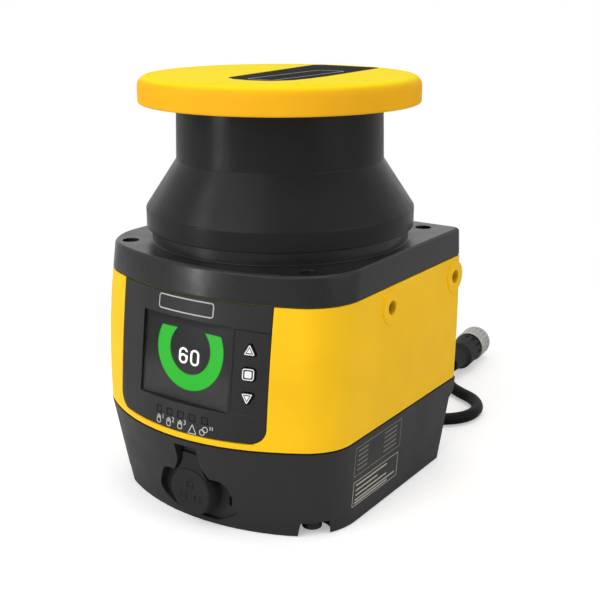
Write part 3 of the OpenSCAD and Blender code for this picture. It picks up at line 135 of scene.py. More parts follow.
# %% Cable curve
cable_curve = bpy.data.curves.new("cable_jacket", "CURVE")
cable_curve.dimensions = "3D"
cable_curve.bevel_depth = 1
cable_curve.bevel_resolution = 8
cable_curve.use_fill_caps = True
spline = cable_curve.splines.new("POLY")
spline.points.add(len(cable_line) - 1)
for point, place in zip(spline.points, cable_line):
    point.co = (*place, 1)
    point.radius = cable_r * MM
spline.use_smooth = True
cable_jacket = bpy.data.objects.new("cable_jacket", cable_curve)
bpy.context.collection.objects.link(cable_jacket)
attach(cable_jacket, "housing")
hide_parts("cable")
print("cable rings:", len(cable_line))

# %% [markdown]
# ## Floor and light
#
# Every finish in this lesson is a small graph of nodes. We could repeat the same few
# lines for each, but three helpers keep the graphs short: one starts a material, one
# sets sockets by their names, and one adds a node together with its values.

# %% Helpers for materials
def new_material(name):
    """An empty node material, with its nodes, its links and its surface shader."""
    material = bpy.data.materials.new(name)
    material.use_nodes = True
    nodes, links = material.node_tree.nodes, material.node_tree.links
    return material, nodes, links, nodes["Principled BSDF"]


def set_sockets(node, **values):
    """Set input sockets by name, where an underscore stands for a space."""
    for key, value in values.items():
        node.inputs[key.replace("_", " ")].default_value = value


def add_node(nodes, kind, **values):
    """A node of one kind, with the values of its properties and sockets."""
    node = nodes.new(kind)
    for key, value in values.items():
        if hasattr(node, key):
            setattr(node, key, value)
        else:
            set_sockets(node, **{key: value})
    return node


print("material helpers ready")

# %% [markdown]
# The table is a wide white sheet. Near the scanner it takes its soft shadow, and far out
# it turns into plain white, so that no edge of the sheet shows. A little added light
# keeps the shadow pale. Only the camera sees all that: for every other ray the sheet is
# an ordinary pale surface, or it would light the scanner from below.

# %% Floor
floor_size, below_feet = 4, 0.0002
shadow_till, white_from, added_light = 0.10, 0.34, 0.36
bpy.ops.object.select_all(action="DESELECT")
bpy.ops.mesh.primitive_plane_add(size=floor_size, location=(0, 0, -below_feet))
floor = bpy.context.object
floor.name = "floor"

white_sheet, nodes, links, shader = new_material("white_sheet")
set_sockets(shader, Base_Color=(0.82, 0.82, 0.82, 1), Roughness=0.7, Specular_IOR_Level=0.1)
white = add_node(nodes, "ShaderNodeEmission", Color=(1, 1, 1, 1), Strength=1.0)
lift = add_node(nodes, "ShaderNodeEmission", Color=(1, 1, 1, 1), Strength=added_light)
path = nodes.new("ShaderNodeLightPath")
place = nodes.new("ShaderNodeTexCoord")
far = add_node(nodes, "ShaderNodeVectorMath", operation="LENGTH")
fade = add_node(nodes, "ShaderNodeMapRange", interpolation_type="SMOOTHSTEP")
set_sockets(fade, From_Min=shadow_till, From_Max=white_from)
lifted = nodes.new("ShaderNodeAddShader")
near_or_far = nodes.new("ShaderNodeMixShader")
for_camera = nodes.new("ShaderNodeMixShader")
links.new(place.outputs["Object"], far.inputs[0])
links.new(far.outputs["Value"], fade.inputs["Value"])
links.new(shader.outputs[0], lifted.inputs[0])
links.new(lift.outputs[0], lifted.inputs[1])
links.new(fade.outputs[0], near_or_far.inputs[0])
links.new(lifted.outputs[0], near_or_far.inputs[1])
links.new(white.outputs[0], near_or_far.inputs[2])
links.new(path.outputs["Is Camera Ray"], for_camera.inputs[0])
links.new(shader.outputs[0], for_camera.inputs[1])
links.new(near_or_far.outputs[0], for_camera.inputs[2])
links.new(for_camera.outputs[0], nodes["Material Output"].inputs["Surface"])
floor.data.materials.append(white_sheet)
print("floor is", floor.dimensions.x, "m wide")

# %% [markdown]
# The world is white for the camera, for glass and for reflections. As a lamp it is much
# dimmer, so the black shells stay black. One strength for both would leave either a grey
# ground or pale shells.

# %% World
world_as_lamp = 0.42
world = bpy.data.worlds.new("studio")
bpy.context.scene.world = world
world.use_nodes = True
nodes, links = world.node_tree.nodes, world.node_tree.links
soft = nodes["Background"]
set_sockets(soft, Color=(1, 1, 1, 1), Strength=world_as_lamp)
plain = add_node(nodes, "ShaderNodeBackground", Color=(1, 1, 1, 1), Strength=1.0)
path = nodes.new("ShaderNodeLightPath")
seen = add_node(nodes, "ShaderNodeMath", operation="MAXIMUM")
seen_or_mirrored = add_node(nodes, "ShaderNodeMath", operation="MAXIMUM")
mix = nodes.new("ShaderNodeMixShader")
links.new(path.outputs["Is Camera Ray"], seen.inputs[0])
links.new(path.outputs["Is Transmission Ray"], seen.inputs[1])
links.new(seen.outputs[0], seen_or_mirrored.inputs[0])
links.new(path.outputs["Is Glossy Ray"], seen_or_mirrored.inputs[1])
links.new(seen_or_mirrored.outputs[0], mix.inputs[0])
links.new(soft.outputs[0], mix.inputs[1])
links.new(plain.outputs[0], mix.inputs[2])
links.new(mix.outputs[0], nodes["World Output"].inputs["Surface"])
bpy.context.scene.view_settings.view_transform = "Standard"
print("world as a lamp:", world_as_lamp)

# %% [markdown]
# Five square lamps stand round the scanner. A bare point lamp would leave hard dots on
# the plastic, and a square one leaves soft gleams of its own size. The three wide lamps
# fill the shapes, and the two small ones at the left draw the tighter gleams.

# %% Lamps
def area_lamp(name, place, target, size, power):
    """A square soft lamp that looks from its place to a target."""
    data = bpy.data.lights.new(name, "AREA")
    data.shape = "SQUARE"
    data.size = size
    data.energy = power
    lamp = bpy.data.objects.new(name, data)
    bpy.context.collection.objects.link(lamp)
    lamp.location = place
    lamp.rotation_euler = (Vector(place) - Vector(target)).to_track_quat("Z", "Y").to_euler()
    return lamp


lamps = [area_lamp(*row) for row in (
    ("front_lamp", (-0.2, -1.05, 0.75), (0, 0, 0.07), 1.1, 9),
    ("key_lamp", (-0.66, -0.6, 0.8), (0, 0, 0.1), 0.2, 1.0),
    ("low_lamp", (-0.38, -0.64, 0.055), (0, -0.05, 0.07), 0.1, 0.72),
    ("top_lamp", (0.1, 0.1, 1.1), (0, 0, 0.1), 0.8, 3.6),
    ("side_lamp", (0.9, 0.1, 0.4), (0, 0, 0.07), 0.7, 2.2))]
print("lamps:", [lamp.name for lamp in lamps])

# %% [markdown]
# ## Finishes
#
# Most of the scanner is moulded plastic. Up close such a skin has a fine spark-eroded
# grain, and over its whole face the gloss and the colour drift a little where the melt
# cooled unevenly. Both read Object coordinates, which are the same metres as the solids,
# so the grain keeps its real size on every piece. Painted textures would need each piece
# unwrapped first.

# %% Noise and blends
def object_noise(nodes, links, size_mm, detail=3.0, stretch=(1, 1, 1)):
    """Noise whose spots are about size_mm across, in the piece's own metres."""
    place = nodes.new("ShaderNodeTexCoord")
    mapping = nodes.new("ShaderNodeMapping")
    set_sockets(mapping, Scale=stretch)
    noise = add_node(nodes, "ShaderNodeTexNoise", Scale=1 / (size_mm * MM), Detail=detail)
    links.new(place.outputs["Object"], mapping.inputs["Vector"])
    links.new(mapping.outputs["Vector"], noise.inputs["Vector"])
    return noise.outputs["Fac"]


def spread(nodes, links, value, low, high):
    """A noise value, which mostly lies between 0.3 and 0.7, laid out between two limits."""
    fit = nodes.new("ShaderNodeMapRange")
    set_sockets(fit, From_Min=0.3, From_Max=0.7, To_Min=low, To_Max=high)
    links.new(value, fit.inputs["Value"])
    return fit.outputs["Result"]


def blend_colours(nodes, links, value, first, second):
    """One colour that turns into another along a value."""
    mix = add_node(nodes, "ShaderNodeMix", data_type="RGBA")
    for socket in mix.inputs:
        if socket.type == "RGBA" and socket.name in "AB":
            socket.default_value = (*(first if socket.name == "A" else second), 1)
    links.new(value, mix.inputs["Factor"])
    return next(o for o in mix.outputs if o.type == "RGBA")


print("noise helpers ready")

# %% Moulded plastic and rubber
def moulded(name, colour, roughness, grain_mm=0.45, depth_mm=0.02, drift=0.06, gloss=0.5):
    """Moulded plastic or rubber with its grain, and a slow drift of colour and gloss."""
    drift_mm, patch_mm, patch_step = 34, 9, 0.05
    material, nodes, links, shader = new_material(name)
    slow = object_noise(nodes, links, drift_mm, detail=2)
    darker = tuple(c * (1 - drift) for c in colour)
    lighter = tuple(min(1, c * (1 + drift)) for c in colour)
    links.new(blend_colours(nodes, links, spread(nodes, links, slow, 0, 1), darker, lighter),
              shader.inputs["Base Color"])
    patchy = object_noise(nodes, links, patch_mm, detail=4)
    links.new(spread(nodes, links, patchy, roughness - patch_step, roughness + patch_step),
              shader.inputs["Roughness"])
    grain = object_noise(nodes, links, grain_mm, detail=2)
    bump = add_node(nodes, "ShaderNodeBump", Strength=0.5, Distance=depth_mm * MM)
    links.new(grain, bump.inputs["Height"])
    links.new(bump.outputs["Normal"], shader.inputs["Normal"])
    set_sockets(shader, Specular_IOR_Level=gloss)
    return material


yellow_shell = moulded("yellow_shell", (0.9, 0.52, 0.011), 0.5, gloss=0.08)
black_base = moulded("black_base", (0.022, 0.022, 0.023), 0.5, gloss=0.18)
black_frame = moulded("black_frame", (0.014, 0.014, 0.0145), 0.27, gloss=0.2)
black_window = moulded("black_window", (0.012, 0.012, 0.0125), 0.32, grain_mm=0.8,
                       depth_mm=0.002, gloss=0.1)
black_bezel = moulded("black_bezel", (0.0145, 0.0145, 0.015), 0.45, gloss=0.2)
label_black = moulded("label_black", (0.013, 0.013, 0.0135), 0.75, grain_mm=0.2,
                      depth_mm=0.004, gloss=0.02)
soft_rubber = moulded("soft_rubber", (0.015, 0.015, 0.0155), 0.6, grain_mm=0.3,
                      depth_mm=0.03, gloss=0.15)
key_rubber = moulded("key_rubber", (0.011, 0.011, 0.0115), 0.58, grain_mm=0.3, gloss=0.13)
seam_rubber = moulded("seam_rubber", (0.012, 0.012, 0.012), 0.7, gloss=0.1)
olive_gasket = moulded("olive_gasket", (0.055, 0.05, 0.014), 0.6, gloss=0.1)
inner_plastic = moulded("inner_plastic", (0.011, 0.011, 0.0115), 0.55, gloss=0.13)
jacket_black = moulded("jacket_black", (0.004, 0.004, 0.0045), 0.45, grain_mm=0.6, gloss=0.08)
smoked_pipe = moulded("smoked_pipe", (0.015, 0.015, 0.0148), 0.38, depth_mm=0.005, gloss=0.15)
print("moulded finishes:", len(bpy.data.materials))

# %% [markdown]
# The inks are thin skins on that plastic. They share one fine grain, and the worn ones on
# the base drift more in colour than the fresh ones on the keys.

# %% Inks
def print_ink(name, colour, drift):
    """A dull skin of print, with the grain of the plastic under it."""
    return moulded(name, colour, 0.5, grain_mm=0.12, depth_mm=0.004, drift=drift, gloss=0.3)


key_ink = print_ink("key_ink", (0.8, 0.8, 0.79), 0.05)
pale_ink = print_ink("pale_ink", (0.5, 0.5, 0.49), 0.1)
faint_ink = print_ink("faint_ink", (0.16, 0.155, 0.125), 0.16)
rule_ink = print_ink("rule_ink", (0.37, 0.355, 0.29), 0.16)
plate_ink = print_ink("plate_ink", (0.42, 0.42, 0.41), 0.1)
print("finishes with inks:", len(bpy.data.materials))

# %% [markdown]
# The cap gets a more orange yellow than the housing, and its flat top a lemon yellow. It is
# one plastic: the lemon top is painted light from above and the orange rim painted shade.
# A second material on the top faces would leave a hard line, so the colour turns over the
# height of the rounded edge.

# %% Cap plastic
def blend_by_height(material, start, end, colour):
    """Let the colour of a finish turn into another one between two heights, in metres."""
    nodes, links = material.node_tree.nodes, material.node_tree.links
    shader = nodes["Principled BSDF"]
    first_colour = shader.inputs["Base Color"].links[0].from_socket
    height = nodes.new("ShaderNodeSeparateXYZ")
    place = nodes.new("ShaderNodeTexCoord")
    rise = add_node(nodes, "ShaderNodeMapRange", interpolation_type="SMOOTHSTEP")
    set_sockets(rise, From_Min=start, From_Max=end)
    links.new(place.outputs["Object"], height.inputs[0])
    links.new(height.outputs["Z"], rise.inputs["Value"])
    mix = add_node(nodes, "ShaderNodeMix", data_type="RGBA")
    colour_in = [socket for socket in mix.inputs if socket.type == "RGBA"]
    links.new(rise.outputs[0], mix.inputs["Factor"])
    links.new(first_colour, colour_in[0])
    colour_in[1].default_value = (*colour, 1)
    links.new(next(o for o in mix.outputs if o.type == "RGBA"), shader.inputs["Base Color"])


# Painted light: the top is lighter and lemon where the light falls on it, and the rim darker and
# more orange in its shade.
painted_shade_rim, painted_light_top = (0.83, 0.41, 0.013), (0.87, 0.68, 0.006)
turn_from, turn_till = 1.9 * MM, 0.1 * MM
yellow_cap = moulded("yellow_cap", painted_shade_rim, 0.6, gloss=0.04)
cap_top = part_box("top_cap")[1][2]
blend_by_height(yellow_cap, cap_top - turn_from, cap_top - turn_till, painted_light_top)
print("cap top at", round(cap_top, 4), "m")

# %% [markdown]
# ## Metals
#
# The nut of the plug is nickel plated, and the screws have a dull coat. The mounting inserts
# are turned brass, painted nearly black as painted shade, since they sit deep in their bores.
# Turning leaves fine lines round the axis and rolling leaves them along one way, so the
# noise is stretched along one axis and pushed into both gloss and bump.

# %% Metal
def worked_metal(name, colour, roughness, lines=(1, 1, 12), line_mm=2.0):
    """Bare or plated metal with fine working lines; lines squeezes the noise along an axis."""
    shade, gloss_step, depth_mm = 0.85, 0.07, 0.01
    material, nodes, links, shader = new_material(name)
    set_sockets(shader, Metallic=1)
    marks = object_noise(nodes, links, line_mm, detail=5, stretch=lines)
    darker = tuple(c * shade for c in colour)
    links.new(blend_colours(nodes, links, spread(nodes, links, marks, 0, 1), darker, colour),
              shader.inputs["Base Color"])
    links.new(spread(nodes, links, marks, roughness - gloss_step, roughness + gloss_step),
              shader.inputs["Roughness"])
    bump = add_node(nodes, "ShaderNodeBump", Strength=0.3, Distance=depth_mm * MM)
    links.new(marks, bump.inputs["Height"])
    links.new(bump.outputs["Normal"], shader.inputs["Normal"])
    return material


nickel = worked_metal("nickel", (0.38, 0.37, 0.34), 0.3, lines=(12, 1, 12))
turned_brass = worked_metal("turned_brass", (0.6, 0.42, 0.16), 0.35, lines=(12, 1, 1))
# Painted shade: this brass is nearly black for the shade deep in the inserts' bores.
brass_in_painted_shade = worked_metal("brass_in_painted_shade", (0.09, 0.07, 0.04), 0.5, lines=(12, 1, 1))
ground_steel = worked_metal("ground_steel", (0.56, 0.56, 0.57), 0.28)
zinc_screw = worked_metal("zinc_screw", (0.5, 0.5, 0.5), 0.4)
black_screw = worked_metal("black_screw", (0.03, 0.03, 0.03), 0.45)
turned_aluminium = worked_metal("turned_aluminium", (0.62, 0.62, 0.63), 0.35)
cast_metal = worked_metal("cast_metal", (0.2, 0.2, 0.21), 0.55, lines=(1, 1, 1), line_mm=1.2)
wound_copper = worked_metal("wound_copper", (0.62, 0.27, 0.1), 0.35, lines=(1, 1, 20),
                            line_mm=3)
print("finishes so far:", len(bpy.data.materials))

# %% [markdown]
# ## Boards, mirror and lens
#
# A circuit board is green lacquer over copper tracks. We could draw a real layout, but a
# brick pattern with offset rows reads as one: it raises the lacquer a little and lightens
# it. The mirror and the lens sit inside the head, polished, with a trace of wipe marks.

# %% Board, mirror and lens
board_green, nodes, links, shader = new_material("board_green")
tracks = add_node(nodes, "ShaderNodeTexBrick", Scale=220.0, Mortar_Size=0.06,
                  Color1=(0.012, 0.12, 0.04, 1), Color2=(0.014, 0.14, 0.05, 1),
                  Mortar=(0.03, 0.24, 0.09, 1))
place = nodes.new("ShaderNodeTexCoord")
bump = add_node(nodes, "ShaderNodeBump", Strength=0.4, Distance=0.04 * MM)
links.new(place.outputs["Object"], tracks.inputs["Vector"])
links.new(tracks.outputs["Color"], shader.inputs["Base Color"])
links.new(tracks.outputs["Fac"], bump.inputs["Height"])
links.new(bump.outputs["Normal"], shader.inputs["Normal"])
set_sockets(shader, Roughness=0.3)


def polished(name, smear_mm, least, most, **values):
    """A smooth skin whose roughness drifts between two values, as wiping leaves it."""
    material, nodes, links, shader = new_material(name)
    set_sockets(shader, **values)
    smear = spread(nodes, links, object_noise(nodes, links, smear_mm), least, most)
    links.new(smear, shader.inputs["Roughness"])
    return material


mirror_glass = polished("mirror_glass", 3, 0.01, 0.04, Metallic=1,
                        Base_Color=(0.86, 0.87, 0.88, 1))
lens_glass = polished("lens_glass", 4, 0.0, 0.03, Transmission_Weight=1, IOR=1.52,
                      Base_Color=(0.85, 0.93, 0.97, 1))
print("board, mirror and lens made")

# %% [markdown]
# ## Screen
#
# The screen shows a lit green ring with a number on a dark ground, all behind a clear
# pane. Refracting glass would bend and dim what is behind it, so the pane is a nearly
# transparent skin that keeps only its gloss. The ground is painted paler towards its
# lower edge: a painted reflection of the pale floor.

# %% Screen
screen_pane = polished("screen_pane", 7, 0.16, 0.22, Alpha=0.07, Specular_IOR_Level=0.28,
                       Base_Color=(0.012, 0.012, 0.013, 1))


def lit(name, colour, strength):
    """A lit part of the screen, with the faint grid of its dots."""
    weaker_dot, weaker_gap = 0.98, 0.94
    material, nodes, links, shader = new_material(name)
    dots = add_node(nodes, "ShaderNodeTexBrick", Scale=1800.0, offset=0.0, Mortar_Size=0.03,
                    Color1=(*colour, 1), Color2=(*(c * weaker_dot for c in colour), 1),
                    Mortar=(*(c * weaker_gap for c in colour), 1))
    place = nodes.new("ShaderNodeTexCoord")
    turn = add_node(nodes, "ShaderNodeMapping", Rotation=(math.radians(90), 0, 0))
    links.new(place.outputs["Object"], turn.inputs["Vector"])
    links.new(turn.outputs["Vector"], dots.inputs["Vector"])
    links.new(dots.outputs["Color"], shader.inputs["Base Color"])
    links.new(dots.outputs["Color"], shader.inputs["Emission Color"])
    set_sockets(shader, Emission_Strength=strength, Roughness=0.5, Specular_IOR_Level=0.08)
    return material


glow = 0.7
screen_green = lit("screen_green", (0.022, 0.35, 0.024), glow)
screen_white = lit("screen_white", (0.85, 0.85, 0.85), glow)
screen_dark = moulded("screen_dark", (0.021, 0.021, 0.022), 0.5, grain_mm=2.5,
                      depth_mm=0.0005, gloss=0.08)
screen_low, screen_high = (corner[2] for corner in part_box("display_window"))
# Painted reflection: the dark ground turns paler towards its lower edge.
painted_reflection_from, painted_reflection_till = screen_high - 10 * MM, screen_low + 5 * MM
blend_by_height(screen_dark, painted_reflection_from, painted_reflection_till, (0.052, 0.052, 0.053))
print("finishes:", len(bpy.data.materials))

# %% [markdown]
# ## Finished copies of the solids
#
# A solid's mesh is loose flat triangles, and every edge is a knife edge. A moulded edge
# has a small round that catches the light. So for each piece that shows, a copy of the
# solid is merged, its flat triangles are joined into whole faces, the sharp edges get a
# small bevel, and the normals are weighted so that flat faces stay flat. The copy then
# stands for the solid. Inner pieces keep the solid and only get their finish. We could
# model each piece anew, but a copy cannot stray from the exact shape.

# %% Bodies and modifiers
body_of_node = {node: body for body, members in frame["record"]["behaviour"]["bodies"].items()
                for node in members}


def select_only(piece):
    """Make one object the whole selection and the active one."""
    bpy.ops.object.select_all(action="DESELECT")
    piece.select_set(True)
    bpy.context.view_layer.objects.active = piece


def apply_modifier(piece, kind, **values):
    """Add one modifier, set it and apply it."""
    select_only(piece)
    modifier = piece.modifiers.new(kind.lower(), kind)
    for key, value in values.items():
        setattr(modifier, key, value)
    bpy.ops.object.modifier_apply(modifier=modifier.name)


# %% Copy and paint
SHARP_TURN = math.radians(35)


def smooth_faces(piece):
    """Shade the small turns smooth, and keep the flat faces flat."""
    select_only(piece)
    bpy.ops.object.shade_smooth_by_angle(angle=SHARP_TURN)
    apply_modifier(piece, "WEIGHTED_NORMAL", keep_sharp=True)


def paint(node, material):
    """Give a solid its finish."""
    materials = frame["nodes"][node].data.materials
    materials.clear()
    materials.append(material)


def finished_copy(node, material, edge_mm=0.25, merge_mm=0.002, flat_deg=0.6):
    """A merged, bevelled and smoothed copy that stands for the solid."""
    piece = bpy.data.objects.new(node + "_shell", frame["nodes"][node].data.copy())
    bpy.context.collection.objects.link(piece)
    select_only(piece)
    bpy.ops.object.mode_set(mode="EDIT")
    bpy.ops.mesh.select_all(action="SELECT")
    bpy.ops.mesh.remove_doubles(threshold=merge_mm * MM)
    bpy.ops.mesh.dissolve_limited(angle_limit=math.radians(flat_deg))
    bpy.ops.object.mode_set(mode="OBJECT")
    if edge_mm:
        apply_modifier(piece, "BEVEL", width=edge_mm * MM, segments=2, limit_method="ANGLE",
                       angle_limit=SHARP_TURN, use_clamp_overlap=False,
                       miter_outer="MITER_ARC")
    smooth_faces(piece)
    piece.data.materials.clear()
    piece.data.materials.append(material)
    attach(piece, body_of_node[node])
    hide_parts(node)
    return piece


print("copies keep edges sharp from", round(math.degrees(SHARP_TURN)), "degrees")

# %% [markdown]
# Six large shells make up most of what is seen. The housing is merged a little more
# coarsely, because two of its corner points lie almost in one place. The bezel gets a
# wider limit for flat faces, because its front is built from many faint turns.

# %% Shells that show
lower_shell = finished_copy("lower_housing", black_base)
main_shell = finished_copy("main_housing", yellow_shell, merge_mm=0.02)
frame_shell = finished_copy("top_frame", black_frame)
bezel_shell = finished_copy("front_bezel", black_bezel, edge_mm=0.22, flat_deg=2.5)
window_shell = finished_copy("optical_window", black_window)
cap_shell = finished_copy("top_cap", yellow_cap)
large_shells = (lower_shell, main_shell, frame_shell, bezel_shell, window_shell, cap_shell)
print("shell faces:", sum(len(shell.data.polygons) for shell in large_shells))

# %% [markdown]
# The seam between the base and the housing hangs a little lower along the sides than at
# the front. The copies are bent to it: only a narrow band of each wall above and below
# the seam moves, so everything else keeps its place. The gasket between them is thin, and
# moves as a whole.

# %% Seam line
gasket_shell = finished_copy("base_gasket", seam_rubber, edge_mm=0)
seam_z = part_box("main_housing")[0][2] / MM
housing_band, base_band = (seam_z + 0.6, seam_z + 1.5), (seam_z - 0.5, seam_z - 4.5)
bend_from, bend_run, front_drop, more_at_side = -56, 26, 1.1, 1.1


def seam_drop(y):
    """How far the seam hangs below its level, in mm, at one y of the wall."""
    t = min(1, max(0, (y - bend_from) / bend_run))
    return front_drop + more_at_side * t * t * (3 - 2 * t)


def share_between(z, full, none):
    """1 at the height full, 0 at the height none, even in between."""
    return min(1, max(0, (z - none) / (full - none)))


for piece, band in ((main_shell, housing_band), (gasket_shell, None), (lower_shell, base_band)):
    for vertex in piece.data.vertices:
        _, y, z = vertex.co / MM
        share = share_between(z, *band) if band else 1
        vertex.co.z -= seam_drop(y) * share * MM
print("seam level", round(seam_z, 2), "mm, drop", front_drop, "to", front_drop + more_at_side)

# %% [markdown]
# Seven radial marks are moulded into the rim of the cap, each a dash with a dot inside
# it. Both are given by their distance from the axis and their length. Drawn only in the
# material they would be missing from the mesh, so they are cut, all at once. The
# cutters stand half in the cap and half above it.

# %% Marks on the cap
mark_degrees = (-123, -80, -46, -10, 35, 138, 181)
dash, dot = (40.5, 3.0), (37.6, 0.7)
mark_wide, mark_tall = 0.6, 0.4
marks = []
for degrees in mark_degrees:
    angle = math.radians(degrees)
    bpy.ops.object.select_all(action="DESELECT")
    for reach, long in (dash, dot):
        bpy.ops.mesh.primitive_cube_add(size=1)
        cutter = bpy.context.object
        cutter.scale = (long * MM, mark_wide * MM, mark_tall * MM)
        cutter.rotation_euler = (0, 0, angle)
        cutter.location = (reach * MM * math.cos(angle), reach * MM * math.sin(angle), cap_top)
        bpy.ops.object.transform_apply(location=True, rotation=True, scale=True)
        marks.append(cutter)
select_only(marks[0])
for cutter in marks:
    cutter.select_set(True)
bpy.ops.object.join()
cutters = bpy.context.object
apply_modifier(cap_shell, "BOOLEAN", object=cutters, operation="DIFFERENCE", solver="EXACT")
bpy.data.objects.remove(cutters)
smooth_faces(cap_shell)
print("cap faces:", len(cap_shell.data.polygons))

# %% [markdown]
# The keys, plugs and screws get the same treatment with finer edges, since a wide round
# would eat a small piece. The table gives each its finish and its edge in millimetres.

# %% Small pieces that show
small_shells = [finished_copy(node, material, edge_mm=edge) for node, material, edge in (
    ("port_cap", soft_rubber, 0.15), ("cap_anchor", soft_rubber, 0.15),
    ("button_up", key_rubber, 0.1), ("button_select", key_rubber, 0.1),
    ("button_down", key_rubber, 0.1), ("port_shell", nickel, 0.1),
    ("cable_gland", inner_plastic, 0.2), ("plug_body", inner_plastic, 0.2),
    ("plug_nut", nickel, 0.1), ("plug_insert", inner_plastic, 0.1),
    ("base_screws", black_screw, 0.15), ("frame_screws", black_screw, 0.15),
    ("mounting_inserts", brass_in_painted_shade, 0.1), ("light_pipes", smoked_pipe, 0.1))]
print("small pieces:", len(small_shells))

# %% [markdown]
# The back of the pane lies flat on the lit ring and the number. Two faces in one plane
# flicker in a render, so the back is brought forwards by a hair. The number that is lit
# is slightly smaller than its solid, and sits up and to the left of it. Its copy is
# fitted along the screen, which leans back, and not straight up.

# %% Pane in front of the screen
air_gap = 0.15 * MM
pane_shell = finished_copy("display_window", screen_pane, edge_mm=0.1)
back_face = max(pane_shell.data.polygons, key=lambda face: face.area * (face.normal.y > 0.9))
forwards = -back_face.normal.copy()
for index in back_face.vertices:
    pane_shell.data.vertices[index].co += forwards * air_gap
print("pane back moved along", [round(c, 2) for c in forwards])

# %% The number on the screen
narrower, shorter = 0.08, 0.16
to_left, to_top = 0.3 * MM, 0.55 * MM
mark_shell = finished_copy("display_mark", screen_white, edge_mm=0)
mark_low, mark_high = (Vector(corner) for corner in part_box("display_mark"))
middle = (mark_low + mark_high) / 2
upwards = forwards.cross(Vector((-1, 0, 0))).normalized()
if upwards.z < 0:
    upwards = -upwards
for vertex in mark_shell.data.vertices:
    from_middle = vertex.co - middle
    vertex.co += Vector((-narrower * from_middle.x - to_left, 0, 0))
    vertex.co += upwards * (to_top - shorter * from_middle.dot(upwards))
number_wide = (1 - narrower) * (mark_high - mark_low).x
print("number is now", round(number_wide / MM, 2), "mm wide")

# %% [markdown]
# What sits inside shows only where the parts are taken apart, so these solids stay as
# they are and get their finish alone. The seals and gaskets between the shells join them.

# %% Inner pieces and seals
for material, names in (
        (seam_rubber, "window_seal cap_seal"), (olive_gasket, "frame_gasket"),
        (screen_green, "display_ring"), (screen_dark, "display_module"),
        (inner_plastic, "port_insert encoder_sensor lens_holder mirror_carrier"),
        (turned_brass, "port_contacts laser_module"),
        (board_green, "display_board main_board interface_board detector_board dirt_sensor_ring"),
        (zinc_screw, "board_spacers board_screws cap_screws chassis_screws"),
        (turned_aluminium, "motor_plate"), (wound_copper, "motor_coils"),
        (ground_steel, "motor_stator bearings rotor_shaft rotor_bell encoder_disc"),
        (cast_metal, "optics_chassis"), (mirror_glass, "scan_mirror"),
        (lens_glass, "receiver_lens")):
    for name in names.split():
        paint(name, material)
cable_jacket.data.materials.append(jacket_black)
print("inner pieces painted")

# %% [markdown]
# ## Printed signs
#
# The signs on the real scanner are pad printed, a thin skin of pale ink on the moulded
# plastic. We could paint them by a texture, but an edge of real ink is crisp from any
# distance. So each sign is drawn flat, in millimetres, from planes and circles. The
# drawing is stood up before its face, thrown onto it by a Shrinkwrap that projects along
# one way, and given a hair of thickness.

# %% Drawing tools
def fit_to(piece, left, low, right, high):
    """Fit a flat piece to a box of the drawing, in mm, and set its place in its mesh."""
    xs = [v.co.x for v in piece.data.vertices]
    ys = [v.co.y for v in piece.data.vertices]
    wide, tall = (right - left) / (max(xs) - min(xs)), (high - low) / (max(ys) - min(ys))
    piece.location = (left - min(xs) * wide, low - min(ys) * tall, 0)
    piece.scale = (wide, tall, 1)
    select_only(piece)
    bpy.ops.object.transform_apply(location=True, rotation=True, scale=True)
    return piece


def drawn_shape(corners, box, round_mm=0.0, line=None, upside_down=False):
    """A polygon that fills a box, with its corners rounded; with a line it is an outline."""
    bpy.ops.object.select_all(action="DESELECT")
    turn = math.pi / 4 if corners == 4 else math.pi * upside_down
    bpy.ops.mesh.primitive_circle_add(vertices=corners, radius=1, fill_type="NGON",
                                      rotation=(0, 0, turn))
    piece = bpy.context.object
    bpy.ops.object.transform_apply(rotation=True)
    fit_to(piece, *box)
    bpy.ops.object.mode_set(mode="EDIT")
    bpy.ops.mesh.select_all(action="SELECT")
    if round_mm:
        bpy.ops.mesh.bevel(offset=round_mm, segments=5, affect="VERTICES")
        bpy.ops.mesh.select_all(action="SELECT")
    if line:
        bpy.ops.mesh.inset(thickness=line)
        bpy.ops.mesh.delete(type="FACE")
    bpy.ops.object.mode_set(mode="OBJECT")
    return piece


def drawn_bar(start, end, line):
    """A straight bar of the given line width between two points of the drawing."""
    start, end = Vector((*start, 0)), Vector((*end, 0))
    bpy.ops.object.select_all(action="DESELECT")
    bpy.ops.mesh.primitive_plane_add(size=1)
    piece = bpy.context.object
    piece.scale = ((end - start).length, line, 1)
    piece.rotation_euler = (0, 0, math.atan2(end.y - start.y, end.x - start.x))
    piece.location = (start + end) / 2
    bpy.ops.object.transform_apply(location=True, rotation=True, scale=True)
    return piece


def drawn_number(number, centre, tall):
    """A plain number, as flat faces."""
    bpy.ops.object.select_all(action="DESELECT")
    bpy.ops.object.text_add()
    piece = bpy.context.object
    piece.data.body = str(number)
    piece.data.resolution_u = 4
    bpy.ops.object.convert(target="MESH")
    piece = bpy.context.object
    wide = tall * piece.dimensions.x / piece.dimensions.y
    x, y = centre
    return fit_to(piece, x - wide / 2, y - tall / 2, x + wide / 2, y + tall / 2)


print("drawing tools ready")

# %% [markdown]
# A long straight edge would cut through a curved face instead of lying on it. So the long
# edges are halved until none is longer than a step, and only then is the sheet thrown.
# Each way of throwing names how the sheet is turned, where it stands in millimetres, its
# axis, and whether it flies up or down that axis.

# %% Throw a drawing onto its face
INK_MM = 0.03
SKIN_MM = 1.6 * INK_MM
TO_FRONT = ((math.pi / 2, 0, 0), (0, -80, 0), "y", True)
TO_RIGHT = ((math.pi / 2, 0, math.pi / 2), (70, 0, 0), "x", False)
TO_TOP = ((0, 0, 0), (0, 0, 160), "z", False)


